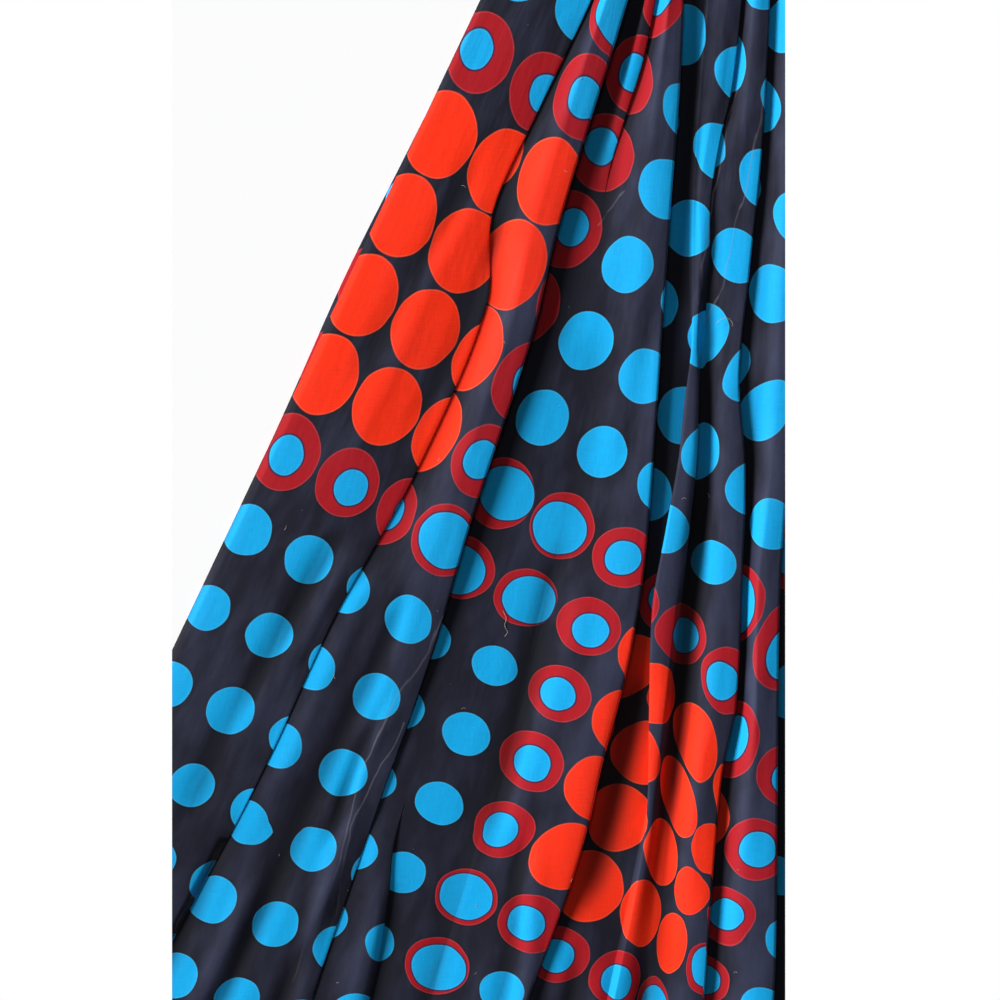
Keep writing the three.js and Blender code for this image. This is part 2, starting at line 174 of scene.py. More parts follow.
# Soft creases pressed into the front: width, height (a trough's is below zero), and the line that each
# follows, as distances down and from the middle. Millimetres.
CREASES = (
    ("flare trough, upper", 9, -1.7, ((367, -291), (477, -350), (533, -380), (591, -408))),
    ("flare ridge, upper", 8, 1.3, ((377, -278), (455, -325), (497, -354), (559, -390))),
    ("flare ridge, middle", 10, 1.5, ((396, -264), (425, -285), (481, -309), (533, -332), (585, -358))),
    ("flare trough, middle", 9, -1.5, ((403, -250), (461, -270), (514, -296), (579, -325), (644, -354))),
    ("pinched trough", 6, -1.8, ((494, -263), (517, -278), (553, -293), (605, -312))),
    ("pinched ridge", 5, 1.4, ((470, -243), (495, -262), (538, -284), (599, -298), (646, -319), (690, -334))),
    ("low trough 1", 8, -1.6, ((599, -334), (662, -363), (720, -392), (790, -430))),
    ("low trough 2", 8, -1.4, ((552, -358), (598, -380), (644, -400), (720, -440))),
    ("low trough 3", 7, -1.9, ((624, -309), (663, -325), (696, -338), (780, -372))),
    ("low ridge 1", 9, 1.4, ((590, -346), (640, -367), (700, -396), (770, -432))),
    ("low ridge 2", 7, 1.3, ((560, -296), (630, -312), (700, -330), (790, -362))),
    ("low ridge 3", 7, 1.5, ((600, -268), (660, -282), (730, -300), (810, -322))),
    ("low trough 4", 6, -1.5, ((590, -256), (650, -268), (720, -284), (800, -306))),
    ("high flare trough", 8, -1.2, ((120, -205), (180, -228), (240, -262), (300, -296))),
    ("high flare ridge", 8, 1.0, ((150, -196), (220, -240), (290, -272), (350, -300))),
    ("oval trough", 6, -1.0, ((150, -180), (215, -205), (280, -232), (340, -262))),
    ("strip ridge", 9, 1.2, ((90, -104), (150, -112), (210, -124), (280, -138))),
    ("strip trough", 8, -1.4, ((210, -92), (260, -99), (310, -106), (370, -118))),
    ("strip trough, low", 8, -1.3, ((380, -150), (440, -168), (520, -186), (600, -206))),
    ("strip ridge, low", 9, 1.3, ((400, -136), (470, -152), (540, -176), (620, -196))),
    ("centre hollow", 7, -1.5, ((520, -196), (580, -214), (650, -232), (740, -256))),
    ("ring dent", 6, -1.5, ((560, -176), (610, -184), (660, -188), (740, -206))),
    ("ring ridge", 5, 1.5, ((570, -168), (620, -173), (670, -177), (760, -196))),
    ("valley floor", 11, -2.2, ((460, -101), (520, -112), (580, -124), (650, -142))),
    ("middle strip crease", 5, 1.0, ((97, -42), (164, -56), (189, -60), (237, -66), (290, -74))),
    ("middle strip hollow", 6, -1.3, ((100, -30), (170, -40), (240, -46), (310, -54))),
    ("middle strip hollow, low", 6, -1.2, ((340, -60), (420, -70), (500, -76), (590, -86))),
    ("middle strip ridge, low", 6, 1.2, ((420, -56), (500, -62), (560, -70), (640, -82))),
    ("pleat hollow", 5, -1.1, ((120, -12), (200, -18), (290, -24), (380, -26))),
    ("pleat ridge, low", 5, 1.2, ((440, -28), (520, -32), (600, -40), (680, -46))),
    ("bottom dent 1", 6, -1.6, ((640, -142), (700, -150), (770, -162), (830, -172))),
    ("bottom dent 2", 6, -1.6, ((650, -96), (710, -104), (780, -114), (835, -122))),
    ("bottom ridge 1", 7, 1.5, ((655, -128), (720, -136), (790, -148), (840, -156))),
    ("right flare trough", 10, -1.7, ((300, 262), (400, 318), (500, 372), (610, 430))),
    ("right flare ridge", 9, 1.5, ((320, 246), (420, 300), (520, 352), (640, 414))),
    ("right low trough", 9, -1.6, ((520, 300), (600, 338), (690, 382), (790, 436))),
    ("right low ridge", 8, 1.5, ((560, 282), (640, 318), (720, 352), (810, 396))),
    ("right strip trough", 8, -1.4, ((260, 168), (340, 186), (430, 212), (520, 244))),
    ("right strip ridge", 8, 1.3, ((420, 160), (500, 178), (590, 206), (690, 240))),
    ("right hollow", 7, -1.5, ((560, 120), (640, 136), (720, 154), (810, 178))),
    ("right middle ridge", 6, 1.2, ((380, 92), (470, 102), (560, 116), (650, 132))),
    ("right side hollow", 8, -1.3, ((80, 168), (160, 208), (250, 244), (330, 272))),
)
# A crease fades over this length, or over its whole length divided by CREASE_ENDS where that is less.
# CREASE_DEPTH multiplies every height. CREASE_SPREAD is the share of its width that a crease has at its top,
# and the share that it gains by its bottom.
CREASE_FADE = 45.0
CREASE_ENDS = 2.5
CREASE_DEPTH = 1.7
CREASE_SPREAD = (0.8, 0.4)

# Wear and painted shade: a ridge or a fold is judged against the cloth within this reach, by this height,
# and each millimetre of a soft crease adds the last value. Ridges are lightened as wear and painted
# highlight, folds darkened as painted shade.
WEAR_SHADE_REACH = 22.0
WEAR_SHADE_HEIGHT = 6.0
WEAR_SHADE_RELIEF = 0.1

# Loose ends of thread on the front, as distances down and from the middle. Each lies a little above the
# topmost cloth near it, in a slight wave. Millimetres.
LOOSE_RADIUS = 0.14
LOOSE_LIFT = 0.55
LOOSE_NEAR = 5
LOOSE_WAVE = 0.3
LOOSE_WAVE_TURNS = 5
LOOSE_ENDS = (
    ((436, -193), (441, -191), (446, -192), (450, -190), (453, -192)),
    ((250, -55), (247, -52), (246, -48), (248, -45), (251, -44)),
    ((700, 120), (704, 126), (703, 133), (709, 138)),
    ((320, 210), (327, 208), (333, 211), (338, 207)),
    ((812, -262), (818, -258), (825, -260), (831, -255)),
)

# Fine gathers under the waistband. Above the last value they take up what the folds let go.
GATHER_HEIGHT = 0.9
GATHER_FADE = 60.0
GATHER_TURNS = 126.0
GATHER_SWAY = 3.1
GATHER_SWAY_TURNS = 9.3
GATHER_SWELL = (0.6, 0.4)
GATHER_SWELL_TURNS = 17
GATHERS_END = 39.0

# The print's lattice in the flat cut: where it starts, and its two steps. Millimetres.
PRINT_START = (-233.0, 125.5)
STEP_ACROSS = (40.3, 22.75)
STEP_DOWN = (-25.35, 53.3)
# How far the flare carries the print up the cloth: at the lattice's start, then amounts for across, down,
# across times down, across squared and down squared, over a span.
DRIFT_SPAN = 325.0
DRIFT = (-0.5, -13.7, -4.2, 26.5, -12.3, 26.0)
DRIFT_ACROSS = (-0.7, 1.25)
DRIFT_DOWN = (-0.6, 1.9)
# How far the cloth past a fold has slid up along it: the fold's place in the list, then distances down
# and slips. Millimetres.
SLIPS = (
    (0, ((0, 28), (850, -28))),
    (1, ((0, -15.6), (260, 0), (330, 0), (400, 2), (450, 7), (500, 13), (626, 22), (850, 32))),
    (4, ((0, 3.4), (300, -2), (450, -12), (493, -8.5), (533, -2.7), (577, -2.5), (626, -5), (850, -5))),
    (6, ((0, 14), (160, 8), (230, 6), (340, 0), (850, 0))),
    (7, ((0, 0), (440, 0), (533, -22), (573, -21), (617, -47), (655, -66), (687, -62), (850, -55))),
)
# Where the slip dies out, as distances right of the middle. Millimetres.
SLIP_ENDS = (15, 290)
# Cloth that smaller gathers inside a fold take up besides its own tuck: the fold's place in the list,
# then distances down and amounts. Millimetres.
GATHERED = (
    (4, ((440, 0), (493, 10), (626, 14), (680, 23), (850, 23))),
    (7, ((440, 0), (533, 10), (617, 12), (687, 17), (850, 17))),
)
# How the strip between two folds is drawn together: the folds' places in the list, then distances down,
# amounts across the strip and amounts along it. Millimetres.
DRAWN = (
    (5, 7, (
        (420, 0, 0), (487, 12, -22), (532, 26, -36), (574, 38, -42), (609, 44, -24), (641, 47, -2),
        (850, 44, 2),
    )),
)

# The fan map's width from the middle to a side, in millimetres, and how many cross-sections the front is
# made from.
FAN_WIDTH = 400.0
SECTIONS = 420

# The back panel: its points across and down, its gap to the floor, how far it bulges past the left side,
# where, over how much and from which share of its half width, its ripples at the waist, and how far its
# print is shifted. Millimetres.
BACK_POINTS = (121, 90)
FLOOR_GAP = 0.1
PEEK_REACH = 3.0
PEEK_DOWN = 215
PEEK_SPREAD = 70
PEEK_FROM = -0.98
RIPPLE_HEIGHT = 1.0
RIPPLE_TURNS = 15
RIPPLE_FADE = 120
BACK_PRINT_SHIFT = (620, 90)

# The waistband: its points across and down, the height of the middle of its two halves, the width over
# which the front's ends round off, how far its top rolls over and from which share of its height, its
# stitched rows of points, and its rows of elastic. Millimetres.
BAND_POINTS = (241, 22)
BAND_MIDDLE = 7.6
BACK_BAND_MIDDLE = 0.75
BAND_ROUND = 34
BAND_ROLL = 1.6
BAND_ROLL_FROM = 0.8
BAND_STITCH_ROWS = (7, 14)
ELASTIC_ROWS = 3

# The floor, its reach in metres, and the sky, which is brighter below HORIZON_TOP.
FLOOR_REACH = 60.0
FLOOR_COLOUR = (0.93, 0.93, 0.935)
FLOOR_GLOW = 0.11
SKY_COLOUR = (0.98, 0.99, 1.0)
HORIZON_LIGHT = 0.9
HORIZON_TOP = 0.16
HORIZON_EDGE = 12
# Each sun's name, its azimuth, elevation and softness in degrees, and its share of the key light.
SUNS = (("key_light", 162, 28, 22, 1.0), ("top_light", 120, 74, 20, 0.11))
# The middle of the view in metres, the camera's sensor in millimetres, and the white cards: how far they
# are from the lens in metres, and their edges as shares of half the view.
VIEW_CENTRE = (-0.195, 0.046, 0.008)
SENSOR_WIDTH = 36.0
CARD_AHEAD = 0.006
CARD_REACH = 1.08
CARD_SIDES = ((-CARD_REACH, -0.656), (0.5705, CARD_REACH))


def ease(share):
    """A smooth step from 0 to 1."""
    share = np.clip(share, 0, 1)
    return share * share * (3 - 2 * share)


def half_width(down):
    """Half of the skirt's width at a distance down."""
    return WAIST_WIDTH / 2 + SIDE_FLARE * down


def hem_down(share):
    """How far down the hem lies, at a share of the way from the middle to a side."""
    return SKIRT_LENGTH - HEM_RISE * share * share


def table_curve(rows, column, down):
    """One column of a fold's rows as a smooth curve, at every distance down."""
    rows = np.array(rows, float)
    place, value = rows[:, 0], rows[:, column]
    last = len(rows) - 1
    before = np.maximum(np.arange(last + 1) - 1, 0)
    after = np.minimum(np.arange(last + 1) + 1, last)
    slope = (value[after] - value[before]) / (place[after] - place[before])
    at = np.clip(np.searchsorted(place, down, side="left") - 1, 0, last - 1)
    length = place[at + 1] - place[at]
    t = np.clip((down - place[at]) / length, 0, 1)
    rise = (value[at + 1] - value[at]) * t * t * (3 - 2 * t)
    lean = length * t * (1 - t) * ((1 - t) * slope[at] - t * slope[at + 1])
    return value[at] + rise + lean


def table_line(rows, column, down):
    """One column of a table's rows as a straight line from row to row, at every distance down."""
    rows = np.array(rows, float)
    return np.interp(down, rows[:, 0], rows[:, column])


def fold_turn(tuck, height):
    """Radius, angle and straight run of a fold that drops by height and takes up tuck."""
    radius = np.clip(height / TURN_SHARE, SMALLEST_TURN, LARGEST_TURN)

    def run_at(angle):
        return (height - 2 * radius * (1 - np.cos(angle))) / np.sin(angle)

    low = np.full_like(height, SHALLOWEST_ANGLE)
    high = np.full_like(height, STEEPEST_ANGLE)
    for _ in range(ANGLE_STEPS):
        angle = (low + high) / 2
        run = run_at(angle)
        used = 2 * radius * (angle - np.sin(angle)) + run * (1 - np.cos(angle))
        more = (run > SHORTEST_RUN) & (used < tuck)
        low = np.where(more, angle, low)
        high = np.where(more, high, angle)
    return radius, low, np.maximum(run_at(low), SHORTEST_RUN)


def fold_points(faces, rows, down):
    """The points of one fold in every cross-section, from left to right, as two arrays."""
    edge = table_curve(rows, 1, down)
    height = np.maximum(table_curve(rows, 3, down), SMALLEST_HEIGHT)
    tuck = np.maximum(table_curve(rows, 2, down), SMALLEST_TUCK * height)
    radius, angle, run = fold_turn(tuck, height)
    reach = radius * np.sin(np.minimum(angle, math.pi / 2))
    shares = np.linspace(0, 1, TURN_POINTS)
    turned = angle[:, None] * shares
    first_x = radius[:, None] * np.sin(turned)
    first_z = height[:, None] - radius[:, None] * (1 - np.cos(turned))
    low_x = first_x[:, -1] + run * np.cos(angle)
    low_z = first_z[:, -1] - run * np.sin(angle)
    left = angle[:, None] * (1 - shares)
    second_x = low_x[:, None] + radius[:, None] * (np.sin(angle)[:, None] - np.sin(left))
    second_z = low_z[:, None] - radius[:, None] * (np.cos(left) - np.cos(angle)[:, None])
    x = np.hstack([first_x, second_x])
    z = np.hstack([first_z, second_z])
    flat = (1 - ease(height / FLAT_BELOW))[:, None]
    level = reach[:, None] + np.linspace(-FLAT_SPREAD, FLAT_SPREAD, x.shape[1])
    x = x * (1 - flat) + level * flat
    z = z * (1 - flat)
    if faces == "right":
        return (edge - reach)[:, None] + x, z
    return (edge + reach)[:, None] - x[:, ::-1], z[:, ::-1]


def base_height(x, down):
    """The cloth's height under all its folds: round at the side seams, with slow swells."""
    half = half_width(down)
    to_edge = np.clip((half - np.abs(x)) / EDGE_ROUND, 0, 1)
    edge = EDGE_MIDDLE + (LOW_MIDDLE - EDGE_MIDDLE) * (1 - (1 - to_edge) ** 2)
    quick = SWELL_TURNS[0] * x / half + SWELL_STARTS[0]
    slow = SWELL_TURNS[1] * x / half + SWELL_STARTS[1]
    waves = 1 + np.sin(quick) * np.cos(slow)
    return edge + to_edge * SWELL_HEIGHT * waves * ease(down / SKIRT_LENGTH) / 2


def crease_height(x, down):
    """The soft creases and the fine gathers, added to every layer alike."""
    total = np.zeros_like(x)
    for _, width, height, line in CREASES:
        first, last = line[0][0], line[-1][0]
        fade = min(CREASE_FADE, (last - first) / CREASE_ENDS)
        inside = ease((down - first) / fade) * ease((last - down) / fade)
        centre = table_curve(line, 1, down)
        spread = width * (CREASE_SPREAD[0] + CREASE_SPREAD[1] * (down - first) / (last - first))
        total += CREASE_DEPTH * height * inside * np.exp(-(((x - centre) / np.maximum(spread, 1)) ** 2))
    side = x / half_width(down)
    wave = np.cos(GATHER_TURNS * side + GATHER_SWAY * np.sin(GATHER_SWAY_TURNS * side))
    swell = GATHER_SWELL[0] + GATHER_SWELL[1] * np.cos(GATHER_SWELL_TURNS * side + 1)
    total += GATHER_HEIGHT * (wave * swell) * np.exp(-down / GATHER_FADE) * (1 - side**8)
    return total


def stretch_points(start, end, low, high, count, strength):
    """Cloth from one fold to the next: level, then a smooth rise between low and high. Where either fold
    dies out, so does the crown between them."""
    shares = np.concatenate([[0.0], np.linspace(0, 1, count), [1.0]])
    spans = np.concatenate([[0.5], np.zeros(count), [0.5]])
    x = low[:, None] + (high - low)[:, None] * shares
    x[:, 0] = start[0] + (low - start[0]) * spans[0]
    x[:, -1] = high + (end[0] - high) * spans[-1]
    along = (x - start[0][:, None]) / np.maximum(end[0] - start[0], 0.1)[:, None]
    crown = LAYER_LIFT * strength[:, None] * np.sin(math.pi * np.clip(along, 0, 1)) ** 2
    return x, start[1][:, None] + (end[1] - start[1])[:, None] * ease(shares) + crown


def front_sections(down, fine, coarse):
    """The front's cross-section at every distance down, with points fine apart at the hem on its left
    half and coarse apart on its right half, and how far each column of points is past each fold."""
    half = half_width(down)
    folds = [fold_points(faces, rows, down) for _, faces, rows in FOLDS]
    level = np.zeros_like(down)
    parts = [(-half[:, None], level[:, None])]

    def count_for(low, high):
        step = fine if low[-1] < 20 else coarse
        return max(3, round(float(high[-1] - low[-1]) / step))

    start = (-half, level)
    before_height = level + FULL_CROWN
    for x, z in [*folds, (half[:, None], level[:, None])]:
        low = start[0] if len(parts) == 1 else parts[-1][0].max(axis=1) + CLEAR
        high = half if x.shape[1] == 1 else x.min(axis=1) - (0 if len(parts) == 1 else CLEAR)
        middle = (low + high) / 2
        low = np.minimum(low, middle - NARROWEST / 2)
        high = np.maximum(high, middle + NARROWEST / 2)
        end = (x[:, 0], z[:, 0])
        height = level + FULL_CROWN if x.shape[1] == 1 else z.max(axis=1) - z.min(axis=1)
        strength = ease(np.minimum(before_height, height) / FULL_CROWN)
        before_height = height
        parts.append(stretch_points(start, end, low, high, count_for(low, high), strength))
        parts.append((x, z))
        start = (x[:, -1], z[:, -1])
    x = np.hstack([part[0] for part in parts])
    z = np.hstack([part[1] for part in parts])
    across = down[:, None] + np.zeros_like(x)
    before = np.cumsum([0] + [part[0].shape[1] for part in parts])
    columns = np.arange(x.shape[1])
    past = [np.clip((columns - before[2 * fold + 2]) / (2 * TURN_POINTS), 0, 1) for fold in range(len(FOLDS))]
    return x, z + base_height(x, across), across, past


def front_grid(fine, coarse, rows):
    """The front panel on a grid, in millimetres: its places across, its heights, its distances down, its cut
    coordinates across and its creases' heights, and how far each column is past each fold."""
    down = np.linspace(SEAM_GAP, SKIRT_LENGTH, SECTIONS)
    x, z, across, past = front_sections(down, fine, coarse)
    length = np.hypot(np.diff(x, axis=1), np.diff(z, axis=1))
    start = np.zeros((len(down), 1))
    cut = -half_width(down)[:, None] + np.hstack([start, np.cumsum(length, axis=1)])
    end = int(np.searchsorted(down, GATHERS_END))
    cut[:end] = cut[end] + x[:end] - x[end]
    relief = crease_height(x, across)
    z = np.maximum(z + relief, EDGE_MIDDLE)
    share = x[-1] / half_width(SKIRT_LENGTH)
    steps = np.linspace(0, 1, rows)
    downs = SEAM_GAP + (hem_down(share)[None, :] - SEAM_GAP) * steps[:, None]

    def settle(values):
        return np.stack([np.interp(downs[:, c], down, values[:, c]) for c in range(values.shape[1])], axis=1)

    return settle(x), settle(z), downs, settle(cut), settle(relief), past


def ridge_wear_and_fold_shade(x, z, relief):
    """How far each point stands proud of the cloth round it: above 0 on a ridge, below 0 in a fold. The
    cloth's colour is lightened by it on ridges, as wear and painted highlight, and darkened by it in folds,
    as painted shade.
    """
    proud = np.zeros_like(z)
    for row in range(len(z)):
        gap = x[row][:, None] - x[row][None, :]
        weight = np.exp(-((gap / WEAR_SHADE_REACH) ** 2)) * np.abs(np.gradient(x[row]))[None, :]
        proud[row] = z[row] - (weight @ z[row]) / weight.sum(axis=1)
    return np.clip(proud / WEAR_SHADE_HEIGHT + relief * WEAR_SHADE_RELIEF, -1, 1)


def past_folds(table, down, past):
    """The sum of a table's amounts for the folds to the left of each point."""
    total = np.zeros_like(down)
    for fold, rows in table:
        total = total + table_line(rows, 1, down) * past[fold][None, :]
    return total


def drawn_together(x, down):
    """How far the strips between folds are drawn together to the left of each point, across and along."""
    across, along = np.zeros_like(x), np.zeros_like(x)
    for first, last, rows in DRAWN:
        low, high = (table_line(FOLDS[fold][2], 1, down) for fold in (first, last))
        share = ease((x - low) / (high - low))
        across = across + share * table_line(rows, 1, down)
        along = along + share * table_line(rows, 2, down)
    return across, along


def print_drift(cut, down):
    """How far up the flare carries the print at each point of the cut."""
    a = np.clip((cut - PRINT_START[0]) / DRIFT_SPAN, *DRIFT_ACROSS)
    d = np.clip((down - PRINT_START[1]) / DRIFT_SPAN, *DRIFT_DOWN)
    return DRIFT[0] + DRIFT[1] * a + DRIFT[2] * d + DRIFT[3] * a * d + DRIFT[4] * a * a + DRIFT[5] * d * d


def add_object(name, data):
    """A new object in the scene, at the origin."""
    made = bpy.data.objects.new(name, data)
    bpy.context.scene.collection.objects.link(made)
    return made


def grid_object(name, x, y, z, uv, wear_and_shade, material):
    """A quad mesh on a grid of points in millimetres, its faces upward, with a cut map, a fan map whose
    lines spread from the waist as the flare does, and an attribute of wear and painted shade: above 0 it
    lightens ridges as wear and painted highlight, below 0 it darkens folds as painted shade."""
    rows, columns = x.shape
    points = np.stack([x, y, z], axis=-1).reshape(-1, 3) * MM
    index = np.arange(rows * columns).reshape(rows, columns)
    quads = np.stack([index[:-1, :-1], index[1:, :-1], index[1:, 1:], index[:-1, 1:]], axis=-1).reshape(-1, 4)
    mesh = bpy.data.meshes.new(name)
    mesh.from_pydata(points.tolist(), [], quads.tolist())
    corner = np.zeros(len(mesh.loops), np.int32)
    mesh.loops.foreach_get("vertex_index", corner)
    down = SEAM_Y - y
    fan = (x / half_width(np.maximum(down, 0)) * FAN_WIDTH, down)
    for layer_name, pair in (("cut", uv), ("fan", fan)):
        places = np.stack(pair, axis=-1).reshape(-1, 2) * MM
        layer = mesh.uv_layers.new(name=layer_name)
        layer.data.foreach_set("uv", places[corner].astype(np.float32).ravel())
    worn_and_painted_light = mesh.attributes.new("wear_and_shade", "FLOAT", "POINT")
    worn_and_painted_light.data.foreach_set("value", wear_and_shade.astype(np.float32).ravel())
    mesh.polygons.foreach_set("use_smooth", [True] * len(mesh.polygons))
    mesh.materials.append(material)
    mesh.update()
    return add_object(name, mesh)


class Wire:
    """One output of a node tree, with the arithmetic that the finishes use."""

    def __init__(self, tree, socket):
        self.tree = tree
        self.socket = socket

    def output(self, name):
        """Another output of the same node."""
        return Wire(self.tree, self.socket.node.outputs[name])

    def math(self, operation, *others):
        values = dict(enumerate((self, *others)))
        return self.tree.node("ShaderNodeMath", {"operation": operation}, values)

    def __add__(self, other):
        return self.math("ADD", other)

    __radd__ = __add__

    def __mul__(self, other):
        return self.math("MULTIPLY", other)

    __rmul__ = __mul__

    def __sub__(self, other):
        return self.math("SUBTRACT", other)

    def __rsub__(self, other):
        return (self * -1) + other

    def __truediv__(self, other):
        return self.math("DIVIDE", other)

    def __neg__(self):
        return self * -1


class Tree:
    """A node tree under construction."""

    def __init__(self, tree):
        self.tree = tree
        self.tree.nodes.clear()

    def node(self, kind, settings=None, values=None, output=0):
        """A node of one kind, its settings made first, then its sockets' values or links."""
        made = self.tree.nodes.new(kind)
        for name, value in (settings or {}).items():
            setattr(made, name, value)
        for name, value in (values or {}).items():
            if isinstance(value, Wire):
                self.tree.links.new(value.socket, made.inputs[name])
            else:
                made.inputs[name].default_value = value
        return Wire(self, made.outputs[output]) if made.outputs else made

    def mix(self, factor, first, second):
        """A colour between two colours."""
        colours = {0: factor, 6: first, 7: second}
        return self.node("ShaderNodeMix", {"data_type": "RGBA"}, colours, output=2)

    def parts(self, vector):
        """The three numbers of a vector."""
        first = self.node("ShaderNodeSeparateXYZ", None, {0: vector})
        return first, first.output(1), first.output(2)

    def placed(self, place, scale, shift=0, turn=0):
        """A place scaled, turned and shifted for a pattern."""
        values = {"Vector": place, "Location": (shift, shift, 0), "Rotation": (0, 0, turn), "Scale": scale}
        return self.node("ShaderNodeMapping", None, values)

    def noise(self, place, scale, detail, **settings):
        """A cloudy value from 0 to 1."""
        values = {"Vector": place, "Scale": scale, "Detail": detail}
        return self.node("ShaderNodeTexNoise", settings, values)

    def multiply(self, colour, shade):
        """A colour times a number."""
        colour = colour if isinstance(colour, Wire) else colour[:3]
        settings = {"operation": "SCALE"}
        return self.node("ShaderNodeVectorMath", settings, {0: colour, "Scale": shade})


def clamp01(wire):
    """The value held between 0 and 1."""
    return wire.math("MAXIMUM", 0.0).math("MINIMUM", 1.0)


def within(wire, low, high):
    """1 where a whole number lies from low to high."""
    return wire.math("GREATER_THAN", low - 0.5) * wire.math("LESS_THAN", high + 0.5)


def either(*masks):
    """The largest of some masks."""
    total = masks[0]
    for mask in masks[1:]:
        total = total.math("MAXIMUM", mask)
    return total


def inside(distance, soft):
    """1 inside a shape whose edge is at distance 0, over a soft width."""
    return clamp01(0.5 - distance / soft)


def new_material(name):
    """A material with an empty node tree."""
    material = bpy.data.materials.new(name)
    material.use_nodes = True
    return material, Tree(material.node_tree)


class PrintSizes:
    """Sizes of the printed spots, in millimetres, and shares of them. One that ends in `_low` is how much
    less a size is in the low rows. The wobble's scale is for each metre."""

    oval = (22.2, 28.6)
    oval_low = 1.2
    ring = (21.7, 27.4)
    ring_low = (0.3, 4.8)
    large_centre = 18.0
    small_centre = (10.3, 13.2)
    small_centre_low = -1.8
    centre_shift = 3.6
    spot = 16.6
    spot_more = 1.4
    spot_low = 1.6
    spot_tall = 1.12
    spot_tall_low = 0.09
    spread = 0.07
    low_from = 180.0
    low_over = 120.0
    wobble = 2.4
    wobble_scale = 42.0
    soft = 0.75
    rim = 0.5
    outline = 1.5
    outline_soft = 1.6
    outline_strength = 0.75
    centre_line = 1.1


class PrintRule:
    """The print's rule, in places of the lattice: how its blocks follow one another, and which differ."""

    block_step = 7
    block_start = -2
    block_drop = 4
    repeat = 14
    short_repeat = 9
    short_from = 2
    wide = 1


